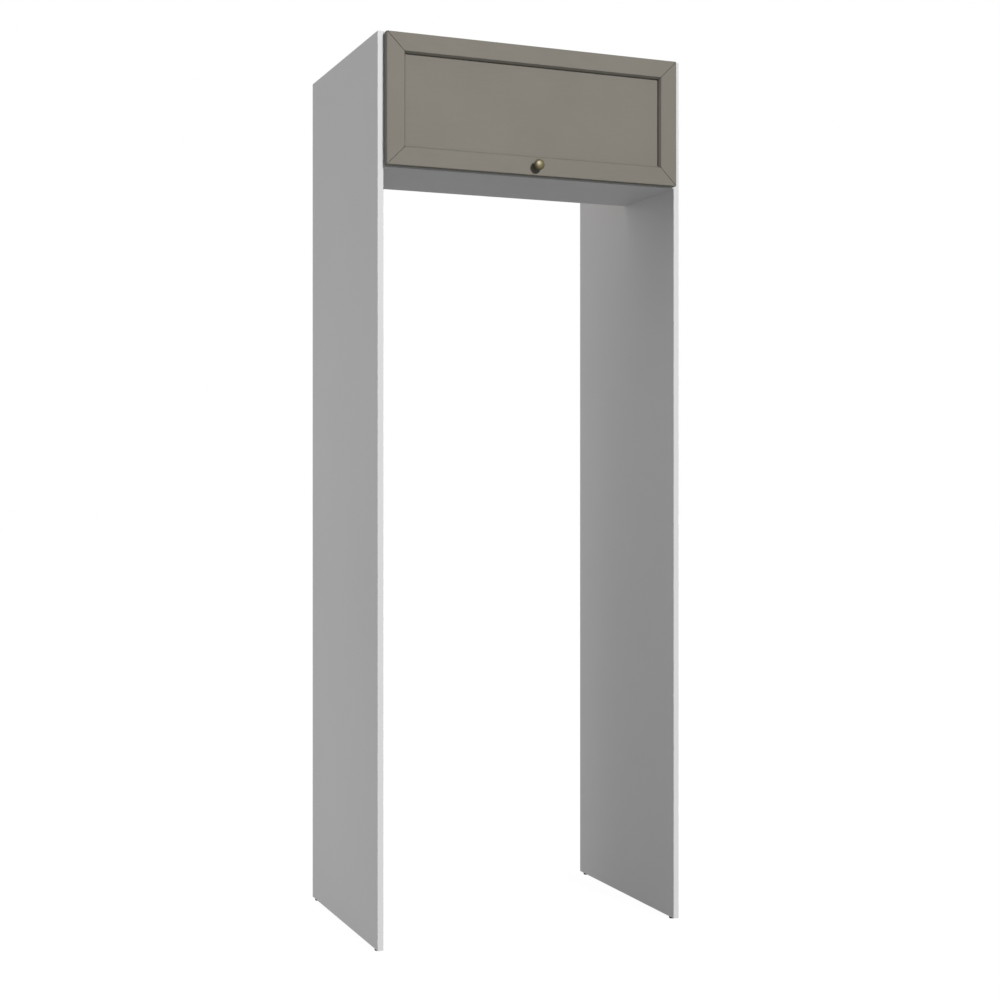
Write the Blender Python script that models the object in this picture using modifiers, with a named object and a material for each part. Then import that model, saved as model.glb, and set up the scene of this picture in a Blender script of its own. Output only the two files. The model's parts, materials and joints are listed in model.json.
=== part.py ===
"""Fridge housing unit: two tall side panels carry an overhead cupboard with a lift-up flap.

Metres, +Z up, front towards -Y. The model is laid out in the unit's own frame: X from its middle,
Y from the front edges of the side panels, Z from the floor. One empty carries that frame, so that
the world origin lies on the floor under the middle of the whole unit.
"""

import math

import bmesh
import bpy
from mathutils import Matrix, Vector

# Clearances and cuts
FIT_GAP = 0.0003
CUT_OVERRUN = 0.002
WELD_DISTANCE = 0.000001

# Tall side panels
PANEL_HEIGHT = 2.250
PANEL_DEPTH = 0.584
PANEL_THICKNESS = 0.015
EDGE_BREAK = 0.0005

# Nail-on glides under the side panels
GLIDE_HEIGHT = 0.005
GLIDE_DIAMETER = 0.014
GLIDE_TREAD_DIAMETER = 0.011
GLIDE_RIM_HEIGHT = 0.0022
GLIDE_SETBACK = 0.025
NAIL_DIAMETER = 0.0022
NAIL_LENGTH = 0.016
NAIL_POINT = 0.003

# Overhead cupboard
CUPBOARD_WIDTH = 0.800
CUPBOARD_HEIGHT = 0.332
CUPBOARD_DEPTH = 0.290
BOARD_THICKNESS = 0.015
BACK_THICKNESS = 0.003
BACK_INSET = 0.010
BACK_GROOVE_DEPTH = 0.006

# Flap: four mitred frame members round a recessed field
DOOR_THICKNESS = 0.018
DOOR_GAP = 0.002
DOOR_TOP_REVEAL = 0.0026
DOOR_BOTTOM_REVEAL = 0.0036
DOOR_SIDE_REVEAL = 0.0021
FRAME_WIDTH = 0.0493
FRAME_CHAMFER_WIDTH = 0.0045
FRAME_CHAMFER_DEPTH = 0.006
FRAME_FRONT_RADIUS = 0.0015
FRAME_BACK_CHAMFER = 0.001
FIELD_RECESS = 0.011
FIELD_THICKNESS = 0.004
FIELD_TONGUE = 0.008
MITRE_GAP = 0.0003
MITRE_ARRIS = 0.0009

# Knob and its screw
KNOB_HEAD_DIAMETER = 0.028
KNOB_PROJECTION = 0.0215
KNOB_DOME_HEIGHT = 0.0045
KNOB_RIM_HEIGHT = 0.0016
KNOB_UNDERCUT = 0.0042
KNOB_NECK_DIAMETER = 0.0095
KNOB_FOOT_DIAMETER = 0.017
KNOB_FOOT_HEIGHT = 0.0018
KNOB_HOLE_DEPTH = 0.012
KNOB_SCREW_DIAMETER = 0.004
KNOB_SCREW_HEAD_DIAMETER = 0.0085
KNOB_SCREW_HEAD_HEIGHT = 0.0024

# Push-in bumpers on the back of the flap
BUMPER_DIAMETER = 0.009
BUMPER_STEM_DIAMETER = 0.005
BUMPER_STEM_LENGTH = 0.008
BUMPER_HEIGHT_ON_DOOR = 0.030

# One-pin cup hinges along the top of the flap
HINGE_SETBACK = 0.098
HINGE_PIN_EDGE_DISTANCE = 0.007
HINGE_PIN_DEPTH = 0.010
HINGE_PIN_DIAMETER = 0.0024
CUP_DIAMETER = 0.035
CUP_DEPTH = 0.0138
CUP_WALL = 0.0006
CUP_EDGE_DISTANCE = 0.003
FLANGE_THICKNESS = 0.0008
FLANGE_OVERLAP = 0.0018
FLANGE_SCREW_SPACING = 0.048
FLANGE_SCREW_OFFSET = 0.006
FLANGE_EAR_RADIUS = 0.006
KNUCKLE_DIAMETER = 0.0048
NECK_WIDTH = 0.009
NECK_THICKNESS = 0.002
NECK_DROP = 0.0112
NECK_BEND_RADIUS = 0.0012
ARM_WIDTH = 0.014
ARM_WALL = 0.0014
ARM_START = 0.007
ARM_END = 0.070
ARM_NOSE_SLOPE = 0.006

# Mounting plates of the hinges
PLATE_SETBACK = 0.037
PLATE_THICKNESS = 0.002
PLATE_SPAN = 0.050
PLATE_WING_WIDTH = 0.016
PLATE_LENGTH = 0.046
PLATE_SCREW_SPACING = 0.032
ARM_SCREW_SPACING = 0.024

# Small screws
SCREW_POINT = 0.003
CUP_SCREW_DIAMETER = 0.0035
CUP_SCREW_LENGTH = 0.011
CUP_SCREW_HEAD_DIAMETER = 0.0065
CUP_SCREW_HEAD_HEIGHT = 0.0018
PLATE_SCREW_DIAMETER = 0.0035
PLATE_SCREW_LENGTH = 0.012
PLATE_SCREW_HEAD_DIAMETER = 0.0068
PLATE_SCREW_HEAD_HEIGHT = 0.0020
ARM_SCREW_DIAMETER = 0.004
ARM_SCREW_LENGTH = 0.0048
ARM_SCREW_HEAD_DIAMETER = 0.0075
ARM_SCREW_HEAD_HEIGHT = 0.0022

# Screws that hold the cupboard between the side panels
CONNECTOR_DIAMETER = 0.004
CONNECTOR_BITE = 0.010
CONNECTOR_HEAD_DIAMETER = 0.009
CONNECTOR_HEAD_HEIGHT = 0.0024
CONNECTOR_SETBACK = 0.045

# Gas struts: both ball pivots lie at one distance from the hinge axis
STRUT_PIVOT_DISTANCE = 0.160
STRUT_DROP_BELOW_TOP = 0.017
STRUT_STAND_OFF_DOOR = 0.014
STRUT_STAND_OFF_SIDE = 0.014
TUBE_DIAMETER = 0.018
TUBE_WALL = 0.0012
TUBE_FLOOR = 0.002
TUBE_SHOULDER = 0.003
ROD_DIAMETER = 0.008
PISTON_LENGTH = 0.006
PISTON_GAP = 0.0005
PISTON_END_CLEARANCE = 0.003
BUSH_LENGTH = 0.008
BUSH_FLANGE = 0.0015
STRUT_END_CLEARANCE = 0.001
SOCKET_REACH = 0.018
SOCKET_HEAD_DIAMETER = 0.014
SOCKET_HEAD_WIDTH = 0.011
SOCKET_NECK_DIAMETER = 0.010
SPIGOT_DIAMETER = 0.005
SPIGOT_LENGTH = 0.008
BALL_DIAMETER = 0.008
BALL_NECK_DIAMETER = 0.0045

# Brackets of the struts
SIDE_BRACKET_LENGTH = 0.042
SIDE_BRACKET_WIDTH = 0.016
SIDE_BRACKET_THICKNESS = 0.0025
DOOR_BRACKET_HEIGHT = 0.042
DOOR_BRACKET_WIDTH = 0.020
DOOR_BRACKET_THICKNESS = 0.002
DOOR_BRACKET_EAR_OFFSET = 0.009
DOOR_BRACKET_EAR_WIDTH = 0.016
BRACKET_HOLE_DIAMETER = 0.0042
BRACKET_HOLE_MARGIN = 0.007

# Angle brackets that tie the side panels to the wall
WALL_BRACKET_LEG = 0.030
WALL_BRACKET_THICKNESS = 0.002
WALL_BRACKET_HEIGHT = 0.040
WALL_BRACKET_DROP = 0.060
WALL_BRACKET_HOLE_DIAMETER = 0.005

# Facets of round shapes
COARSE_SEGMENTS = 12
PIN_SEGMENTS = 16
GLIDE_SEGMENTS = 20
TUBE_SEGMENTS = 24
CUP_SEGMENTS = 36
KNOB_SEGMENTS = 30
QUARTER_STEPS = 4
FLAT_ANGLE = math.radians(1)

QUARTER_TURN = math.pi / 2
ALONG_X = (0, QUARTER_TURN, 0)
ALONG_BACK = (-QUARTER_TURN, 0, 0)
ALONG_FRONT = (QUARTER_TURN, 0, 0)
UPSIDE_DOWN = (2 * QUARTER_TURN, 0, 0)

# Places in the unit's own frame
PANEL_TOP = GLIDE_HEIGHT + PANEL_HEIGHT
CUPBOARD_BOTTOM = PANEL_TOP - CUPBOARD_HEIGHT
CUPBOARD_HALF = CUPBOARD_WIDTH / 2
CUPBOARD_INNER_HALF = CUPBOARD_HALF - BOARD_THICKNESS
TOP_UNDERSIDE = PANEL_TOP - BOARD_THICKNESS
BACK_FRONT_FACE = CUPBOARD_DEPTH - BACK_INSET - BACK_THICKNESS

DOOR_BACK = -DOOR_GAP
DOOR_FRONT = DOOR_BACK - DOOR_THICKNESS
DOOR_TOP = PANEL_TOP - DOOR_TOP_REVEAL
DOOR_BOTTOM = CUPBOARD_BOTTOM + DOOR_BOTTOM_REVEAL
DOOR_HEIGHT = DOOR_TOP - DOOR_BOTTOM
DOOR_WIDTH = CUPBOARD_WIDTH - 2 * DOOR_SIDE_REVEAL
DOOR_MIDDLE = (DOOR_TOP + DOOR_BOTTOM) / 2

UNIT_FRONT = DOOR_FRONT - FIT_GAP - KNOB_PROJECTION
UNIT_SHIFT = -(UNIT_FRONT + PANEL_DEPTH) / 2

AXIS_Y = DOOR_BACK - HINGE_PIN_DEPTH
AXIS_Z = DOOR_TOP - HINGE_PIN_EDGE_DISTANCE
HINGE_X = DOOR_WIDTH / 2 - HINGE_SETBACK
CUP_CENTRE_Z = DOOR_TOP - CUP_EDGE_DISTANCE - CUP_DIAMETER / 2

STRUT_X = CUPBOARD_INNER_HALF - STRUT_STAND_OFF_SIDE
TUBE_PIVOT_Z = TOP_UNDERSIDE - STRUT_DROP_BELOW_TOP
TUBE_PIVOT_Y = AXIS_Y + math.sqrt(STRUT_PIVOT_DISTANCE ** 2 - (AXIS_Z - TUBE_PIVOT_Z) ** 2)
ROD_PIVOT_Y = DOOR_BACK + STRUT_STAND_OFF_DOOR
ROD_PIVOT_Z = AXIS_Z - math.sqrt(STRUT_PIVOT_DISTANCE ** 2 - (ROD_PIVOT_Y - AXIS_Y) ** 2)
CLOSED_LENGTH = math.hypot(TUBE_PIVOT_Y - ROD_PIVOT_Y, TUBE_PIVOT_Z - ROD_PIVOT_Z)
STRUT_TILT = math.atan2(TUBE_PIVOT_Y - ROD_PIVOT_Y, ROD_PIVOT_Z - TUBE_PIVOT_Z)
TUBE_START = SOCKET_REACH + FIT_GAP
TUBE_MOUTH = CLOSED_LENGTH - SOCKET_REACH - STRUT_END_CLEARANCE - BUSH_FLANGE
ROD_INNER_END = TUBE_START + TUBE_FLOOR + PISTON_END_CLEARANCE


def clear_scene():
    """Removes every object, so that the part starts from nothing."""
    for obj in list(bpy.data.objects):
        bpy.data.objects.remove(obj)


def collection(name):
    """A new collection linked to the scene."""
    made = bpy.data.collections.new(name)
    bpy.context.scene.collection.children.link(made)
    return made


def material(name, colour, roughness, metallic=0.0):
    """A plain surface of one colour."""
    made = bpy.data.materials.new(name)
    made.use_nodes = True
    surface = made.node_tree.nodes["Principled BSDF"]
    surface.inputs["Base Color"].default_value = (*colour, 1)
    surface.inputs["Roughness"].default_value = roughness
    surface.inputs["Metallic"].default_value = metallic
    made.diffuse_color = (*colour, 1)
    return made


class Kit:
    """The collections, materials and empties that the pieces share."""

    def __init__(self):
        self.parts = collection("fridge_housing_unit")
        self.tools = collection("cutters")
        self.white = material("white_melamine_board", (0.80, 0.80, 0.79), 0.45)
        self.hardboard = material("white_hardboard", (0.74, 0.74, 0.72), 0.60)
        self.lacquer = material("taupe_lacquer", (0.245, 0.228, 0.198), 0.50)
        self.brass = material("antique_brass", (0.30, 0.22, 0.11), 0.35, 1.0)
        self.nickel = material("nickel_plated_steel", (0.62, 0.61, 0.59), 0.30, 1.0)
        self.zinc = material("zinc_plated_steel", (0.52, 0.53, 0.55), 0.38, 1.0)
        self.chrome = material("chromed_rod", (0.72, 0.72, 0.73), 0.12, 1.0)
        self.black_steel = material("black_lacquered_steel", (0.020, 0.020, 0.022), 0.35)
        self.black_plastic = material("black_plastic", (0.025, 0.025, 0.026), 0.50)
        self.silicone = material("clear_silicone", (0.60, 0.60, 0.58), 0.40)
        self.unit = self.empty("unit_frame", None, (0, UNIT_SHIFT, 0))
        self.flap = self.empty("flap_axis", self.unit, (0, AXIS_Y, AXIS_Z))

    def empty(self, name, parent, location, rotation=(0, 0, 0)):
        """An empty that carries other objects."""
        made = bpy.data.objects.new(name, None)
        self.parts.objects.link(made)
        made.parent = parent
        made.location = location
        made.rotation_euler = rotation
        return made

    def part(self, obj, surface, parent, location, rotation=(0, 0, 0)):
        """Gives a piece its material, its place and its parent."""
        self.parts.objects.link(obj)
        obj.data.materials.append(surface)
        obj.parent = parent
        obj.location = self.local(parent, location)
        obj.rotation_euler = rotation
        return obj

    def tool(self, obj, parent, location, rotation=(0, 0, 0)):
        """Places a shape that only cuts or joins."""
        self.tools.objects.link(obj)
        obj.hide_render = True
        obj.display_type = "WIRE"
        obj.parent = parent
        obj.location = self.local(parent, location)
        obj.rotation_euler = rotation
        return obj

    def local(self, parent, location):
        """A place in the unit's frame, seen from the flap's empty where that is the parent."""
        if parent is self.flap:
            return Vector(location) - self.flap.location
        return Vector(location)


def new_object(name, bm):
    """Turns a bmesh into an object of its own."""
    mesh = bpy.data.meshes.new(name)
    bm.to_mesh(mesh)
    bm.free()
    return bpy.data.objects.new(name, mesh)


def box(name, size):
    """A box about its own middle."""
    bm = bmesh.new()
    bmesh.ops.create_cube(bm, size=1, matrix=Matrix.Diagonal((*size, 1)))
    return new_object(name, bm)


def cylinder(name, radius, length, segments=COARSE_SEGMENTS):
    """A cylinder about its own middle, along its local Z."""
    return cone(name, radius, radius, length, segments)


def cone(name, lower_radius, upper_radius, length, segments=COARSE_SEGMENTS):
    """A cone frustum about its own middle, along its local Z."""
    bm = bmesh.new()
    bmesh.ops.create_cone(
        bm, cap_ends=True, segments=segments, radius1=lower_radius, radius2=upper_radius, depth=length
    )
    obj = new_object(name, bm)
    smooth_round(obj)
    return obj


def ball(name, radius, segments=COARSE_SEGMENTS):
    """A sphere about its own middle."""
    bm = bmesh.new()
    bmesh.ops.create_uvsphere(bm, u_segments=segments, v_segments=segments // 2, radius=radius)
    obj = new_object(name, bm)
    smooth_round(obj)
    return obj


def turned(name, profile, segments):
    """A turned shape from a profile of (radius, height) points that runs down its outer side."""
    mesh = bpy.data.meshes.new(name)
    points = [(radius, 0, height) for radius, height in profile]
    edges = [(index, index + 1) for index in range(len(points) - 1)]
    mesh.from_pydata(points, edges, [])
    obj = bpy.data.objects.new(name, mesh)
    screw = obj.modifiers.new("turn", "SCREW")
    screw.steps = segments
    screw.render_steps = segments
    screw.use_merge_vertices = True
    screw.merge_threshold = WELD_DISTANCE
    screw.use_smooth_shade = True
    return obj


def smooth_round(obj):
    """Shades round walls smooth and keeps hard edges."""
    obj.data.shade_smooth()
    obj.data.set_sharp_from_angle(angle=QUARTER_TURN / 2)


def arc(centre, radius, start, end, steps):
    """Points along an arc, both ends included."""
    turn = (end - start) / steps
    return [
        (
            centre[0] + radius * math.cos(start + index * turn),
            centre[1] + radius * math.sin(start + index * turn),
        )
        for index in range(steps + 1)
    ]


def extruded(name, outline, thickness):
    """A flat outline in local X and Y, thickened evenly to both sides along local Z."""
    curve = bpy.data.curves.new(name, "CURVE")
    curve.dimensions = "2D"
    curve.fill_mode = "BOTH"
    curve.extrude = thickness / 2
    spline = curve.splines.new("POLY")
    spline.points.add(len(outline) - 1)
    for point, (x, y) in zip(spline.points, outline):
        point.co = (x, y, 0, 1)
    spline.use_cyclic_u = True
    guide = bpy.data.objects.new(name, curve)
    bpy.context.scene.collection.objects.link(guide)
    depsgraph = bpy.context.evaluated_depsgraph_get()
    mesh = bpy.data.meshes.new_from_object(guide.evaluated_get(depsgraph))
    bpy.data.objects.remove(guide)
    bpy.data.curves.remove(curve)
    bm = bmesh.new()
    bm.from_mesh(mesh)
    bpy.data.meshes.remove(mesh)
    bmesh.ops.remove_doubles(bm, verts=bm.verts, dist=WELD_DISTANCE)
    bmesh.ops.dissolve_limit(bm, angle_limit=FLAT_ANGLE, verts=bm.verts, edges=bm.edges)
    bmesh.ops.recalc_face_normals(bm, faces=bm.faces)
    return new_object(name, bm)


def trim(obj, point, normal):
    """Cuts an object's mesh with a plane and closes the cut."""
    bm = bmesh.new()
    bm.from_mesh(obj.data)
    geometry = list(bm.verts) + list(bm.edges) + list(bm.faces)
    result = bmesh.ops.bisect_plane(
        bm, geom=geometry, plane_co=point, plane_no=normal, clear_outer=True
    )
    rim = [item for item in result["geom_cut"] if isinstance(item, bmesh.types.BMEdge)]
    bmesh.ops.edgeloop_fill(bm, edges=rim)
    bmesh.ops.recalc_face_normals(bm, faces=bm.faces)
    bm.to_mesh(obj.data)
    bm.free()


def orient(obj, x_axis, y_axis, z_axis):
    """Turns an object's mesh so that its local axes point along the given ones."""
    turn = Matrix((x_axis, y_axis, z_axis)).transposed().to_4x4()
    obj.data.transform(turn)


def boolean(obj, tool, operation):
    """Adds one exact Boolean step."""
    step = obj.modifiers.new(tool.name, "BOOLEAN")
    step.operation = operation
    step.solver = "EXACT"
    step.object = tool


def cut(obj, tool):
    """Takes a tool's shape out of a piece."""
    boolean(obj, tool, "DIFFERENCE")


def join(obj, tool):
    """Adds a tool's shape to a piece."""
    boolean(obj, tool, "UNION")


def break_edges(obj, width):
    """Takes the sharpness off a board's edges."""
    bevel = obj.modifiers.new("edge_break", "BEVEL")
    bevel.width = width
    bevel.segments = 1
    bevel.limit_method = "ANGLE"


def screw(name, head_diameter, head_height, shank_diameter, length, countersunk=False):
    """A screw whose head stands on local Z = 0 and whose shank runs down from there.

    A countersunk head lies below Z = 0 instead, and length counts from its flat top.
    """
    head = head_diameter / 2
    shank = shank_diameter / 2
    if countersunk:
        top = [(0, 0), (head, 0), (shank, -head_height)]
    else:
        crown = [(head * math.sin(a), head_height * math.cos(a)) for a in (0, QUARTER_TURN / 2)]
        top = crown + [(head, head_height / 3), (head, 0), (shank, 0)]
    point = min(SCREW_POINT, length / 2)
    profile = top + [(shank, point - length), (shank / 3, -length), (0, -length)]
    return turned(name, profile, COARSE_SEGMENTS)


def side_name(side):
    """The name of a side, as seen from the front."""
    return "left" if side < 0 else "right"


def side_panel(kit, side):
    """A tall board from the floor glides to the top of the unit."""
    name = side_name(side)
    panel = box(name + "_side_panel", (PANEL_THICKNESS, PANEL_DEPTH, PANEL_HEIGHT))
    break_edges(panel, EDGE_BREAK)
    x = side * (CUPBOARD_HALF + FIT_GAP + PANEL_THICKNESS / 2)
    kit.part(panel, kit.white, kit.unit, (x, PANEL_DEPTH / 2, GLIDE_HEIGHT + PANEL_HEIGHT / 2))
    for place, y in (("front", GLIDE_SETBACK), ("rear", PANEL_DEPTH - GLIDE_SETBACK)):
        glide(kit, "glide_%s_%s" % (place, name), (x, y, 0))
        hole_length = NAIL_LENGTH + FIT_GAP + CUT_OVERRUN
        hole = cylinder("nail_hole", NAIL_DIAMETER / 2 + FIT_GAP, hole_length)
        kit.tool(hole, kit.unit, (x, y, GLIDE_HEIGHT + hole_length / 2 - CUT_OVERRUN))
        cut(panel, hole)
    return panel


def glide(kit, name, place):
    """A nail-on glide: a round plastic foot with its nail."""
    foot = GLIDE_DIAMETER / 2
    nail = NAIL_DIAMETER / 2
    seat = GLIDE_HEIGHT - FIT_GAP
    tip = GLIDE_HEIGHT + NAIL_LENGTH - FIT_GAP
    profile = [
        (0, tip),
        (nail, tip - NAIL_POINT),
        (nail, seat),
        (foot, seat),
        (foot, GLIDE_RIM_HEIGHT),
        (GLIDE_TREAD_DIAMETER / 2, 0),
        (0, 0),
    ]
    kit.part(turned(name, profile, GLIDE_SEGMENTS), kit.black_plastic, kit.unit, place)


def back_groove(kit, board, middle, size):
    """The groove in a cupboard board that holds the back."""
    groove = box("back_groove", size)
    kit.tool(groove, kit.unit, middle)
    cut(board, groove)


def cupboard(kit):
    """The overhead cupboard: two sides, a top and a bottom between them, and a grooved-in back."""
    groove_width = BACK_THICKNESS + 2 * FIT_GAP
    groove_y = BACK_FRONT_FACE + BACK_THICKNESS / 2
    middle_z = CUPBOARD_BOTTOM + CUPBOARD_HEIGHT / 2
    groove_reach = BACK_GROOVE_DEPTH + CUT_OVERRUN
    sides = {}
    for side in (-1, 1):
        board = box(
            "cupboard_%s_side" % side_name(side), (BOARD_THICKNESS, CUPBOARD_DEPTH, CUPBOARD_HEIGHT)
        )
        break_edges(board, EDGE_BREAK)
        x = side * (CUPBOARD_HALF - BOARD_THICKNESS / 2)
        kit.part(board, kit.white, kit.unit, (x, CUPBOARD_DEPTH / 2, middle_z))
        groove_x = side * (CUPBOARD_INNER_HALF + (BACK_GROOVE_DEPTH - CUT_OVERRUN) / 2)
        groove_size = (groove_reach, groove_width, CUPBOARD_HEIGHT + 2 * CUT_OVERRUN)
        back_groove(kit, board, (groove_x, groove_y, middle_z), groove_size)
        sides[side] = board
    boards = {}
    board_width = 2 * (CUPBOARD_INNER_HALF - FIT_GAP)
    for name, board_z, inward in (
        ("top", PANEL_TOP - BOARD_THICKNESS / 2, -1),
        ("bottom", CUPBOARD_BOTTOM + BOARD_THICKNESS / 2, 1),
    ):
        board = box("cupboard_" + name, (board_width, CUPBOARD_DEPTH, BOARD_THICKNESS))
        break_edges(board, EDGE_BREAK)
        kit.part(board, kit.white, kit.unit, (0, CUPBOARD_DEPTH / 2, board_z))
        inner_face = board_z + inward * BOARD_THICKNESS / 2
        groove_z = inner_face - inward * (BACK_GROOVE_DEPTH - CUT_OVERRUN) / 2
        groove_size = (board_width + 2 * CUT_OVERRUN, groove_width, groove_reach)
        back_groove(kit, board, (0, groove_y, groove_z), groove_size)
        boards[name] = board
    tongue = BACK_GROOVE_DEPTH - FIT_GAP
    back = box(
        "cupboard_back",
        (
            2 * (CUPBOARD_INNER_HALF + tongue),
            BACK_THICKNESS,
            CUPBOARD_HEIGHT - 2 * BOARD_THICKNESS + 2 * tongue,
        ),
    )
    kit.part(back, kit.hardboard, kit.unit, (0, groove_y, middle_z))
    return sides, boards


def connectors(kit, panels, sides):
    """Screws from inside the cupboard, through its sides and into the tall panels."""
    head_gap = CUPBOARD_INNER_HALF - FIT_GAP
    length = BOARD_THICKNESS + 2 * FIT_GAP + CONNECTOR_BITE
    z = CUPBOARD_BOTTOM + CUPBOARD_HEIGHT / 2
    for side in (-1, 1):
        for place, y in (
            ("front", CONNECTOR_SETBACK),
            ("rear", BACK_FRONT_FACE - CONNECTOR_SETBACK),
        ):
            name = "connector_screw_%s_%s" % (place, side_name(side))
            body = screw(
                name, CONNECTOR_HEAD_DIAMETER, CONNECTOR_HEAD_HEIGHT, CONNECTOR_DIAMETER, length
            )
            turn = (0, -side * QUARTER_TURN, 0)
            kit.part(body, kit.zinc, kit.unit, (side * head_gap, y, z), turn)
            hole_length = length + FIT_GAP + CUT_OVERRUN
            hole = cylinder("connector_hole", CONNECTOR_DIAMETER / 2 + FIT_GAP, hole_length)
            hole_x = side * (head_gap - CUT_OVERRUN + hole_length / 2)
            kit.tool(hole, kit.unit, (hole_x, y, z), ALONG_X)
            cut(sides[side], hole)
            cut(panels[side], hole)


def frame_section():
    """The section of a frame member: X across from its outer edge, Y from front to back."""
    radius = FRAME_FRONT_RADIUS
    groove_floor = FRAME_WIDTH - FIELD_TONGUE - FIT_GAP
    groove_front = FIELD_RECESS - FIT_GAP
    groove_back = FIELD_RECESS + FIELD_THICKNESS + FIT_GAP
    front_edge = arc((radius, radius), radius, 2 * QUARTER_TURN, 3 * QUARTER_TURN, QUARTER_STEPS)
    return front_edge + [
        (FRAME_WIDTH - FRAME_CHAMFER_WIDTH, 0),
        (FRAME_WIDTH, FRAME_CHAMFER_DEPTH),
        (FRAME_WIDTH, groove_front),
        (groove_floor, groove_front),
        (groove_floor, groove_back),
        (FRAME_WIDTH, groove_back),
        (FRAME_WIDTH, DOOR_THICKNESS),
        (FRAME_BACK_CHAMFER, DOOR_THICKNESS),
        (0, DOOR_THICKNESS - FRAME_BACK_CHAMFER),
    ]


def break_mitres(member):
    """Breaks the front edges of both mitres, so that a V-groove marks each corner joint."""
    bm = bmesh.new()
    bm.from_mesh(member.data)
    mitres = [face for face in bm.faces if abs(face.normal.z) > FLAT_ANGLE]
    front_edges = [
        edge
        for mitre in mitres
        for edge in mitre.edges
        if any(face.normal.y < -FLAT_ANGLE for face in edge.link_faces)
    ]
    bmesh.ops.bevel(
        bm, geom=front_edges, offset=MITRE_ARRIS, segments=1, profile=0.5, affect="EDGES"
    )
    bm.to_mesh(member.data)
    bm.free()


def frame_member(kit, name, inward, edge_middle, length):
    """One mitred member, from the middle of its outer front edge, running along the door's edge."""
    member = extruded(name, frame_section(), length)
    for end in (-1, 1):
        point = (0, 0, end * (length - MITRE_GAP * math.sqrt(2)) / 2)
        trim(member, point, Vector((1, 0, end)).normalized())
    break_mitres(member)
    towards_back = Vector((0, 1, 0))
    orient(member, inward, towards_back, inward.cross(towards_back))
    return kit.part(member, kit.lacquer, kit.flap, edge_middle)


def door(kit):
    """The flap's frame and field."""
    half_width = DOOR_WIDTH / 2
    members = {
        "top": frame_member(
            kit, "door_top_rail", Vector((0, 0, -1)), (0, DOOR_FRONT, DOOR_TOP), DOOR_WIDTH
        ),
        "bottom": frame_member(
            kit, "door_bottom_rail", Vector((0, 0, 1)), (0, DOOR_FRONT, DOOR_BOTTOM), DOOR_WIDTH
        ),
    }
    for side in (-1, 1):
        members[side] = frame_member(
            kit,
            "door_%s_stile" % side_name(side),
            Vector((-side, 0, 0)),
            (side * half_width, DOOR_FRONT, DOOR_MIDDLE),
            DOOR_HEIGHT,
        )
    margin = 2 * (FRAME_WIDTH - FIELD_TONGUE)
    field = box("door_centre_panel", (DOOR_WIDTH - margin, FIELD_THICKNESS, DOOR_HEIGHT - margin))
    field_y = DOOR_FRONT + FIELD_RECESS + FIELD_THICKNESS / 2
    kit.part(field, kit.lacquer, kit.flap, (0, field_y, DOOR_MIDDLE))
    return members


def knob_profile():
    """The knob's turned shape: domed head, waisted neck, spreading foot and a screw hole."""
    head = KNOB_HEAD_DIAMETER / 2
    neck = KNOB_NECK_DIAMETER / 2
    foot = KNOB_FOOT_DIAMETER / 2
    rim_top = KNOB_PROJECTION - KNOB_DOME_HEIGHT
    rim_bottom = rim_top - KNOB_RIM_HEIGHT
    throat = rim_bottom - KNOB_UNDERCUT
    quarter = [index * QUARTER_TURN / QUARTER_STEPS for index in range(QUARTER_STEPS + 1)]
    steps = 2 * QUARTER_STEPS
    dome = [
        (head * math.sin(a), rim_top + KNOB_DOME_HEIGHT * math.cos(a))
        for a in (index * QUARTER_TURN / steps for index in range(steps + 1))
    ]
    under = [
        (neck + (head - neck) * math.cos(a), rim_bottom - KNOB_UNDERCUT * math.sin(a))
        for a in quarter
    ]
    rise = throat - KNOB_FOOT_HEIGHT
    flare = [
        (foot - (foot - neck) * math.sin(a), KNOB_FOOT_HEIGHT + rise * (1 - math.cos(a)))
        for a in reversed(quarter)
    ]
    hole = KNOB_SCREW_DIAMETER / 2 + FIT_GAP
    end = [(foot, 0), (hole, 0), (hole, KNOB_HOLE_DEPTH), (0, KNOB_HOLE_DEPTH)]
    return dome + under + flare[1:] + end


def knob(kit, bottom_rail):
    """The knob on the middle of the bottom rail, with its screw from behind."""
    z = DOOR_BOTTOM + FRAME_WIDTH / 2
    body = turned("knob", knob_profile(), KNOB_SEGMENTS)
    kit.part(body, kit.brass, kit.flap, (0, DOOR_FRONT - FIT_GAP, z), ALONG_FRONT)
    length = DOOR_THICKNESS + KNOB_HOLE_DEPTH
    fixing = screw(
        "knob_screw",
        KNOB_SCREW_HEAD_DIAMETER,
        KNOB_SCREW_HEAD_HEIGHT,
        KNOB_SCREW_DIAMETER,
        length,
    )
    kit.part(fixing, kit.zinc, kit.flap, (0, DOOR_BACK + FIT_GAP, z), ALONG_BACK)
    hole_length = DOOR_THICKNESS + 2 * CUT_OVERRUN
    hole = cylinder("knob_screw_hole", KNOB_SCREW_DIAMETER / 2 + FIT_GAP, hole_length)
    kit.tool(hole, kit.flap, (0, DOOR_FRONT + DOOR_THICKNESS / 2, z), ALONG_BACK)
    cut(bottom_rail, hole)


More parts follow.
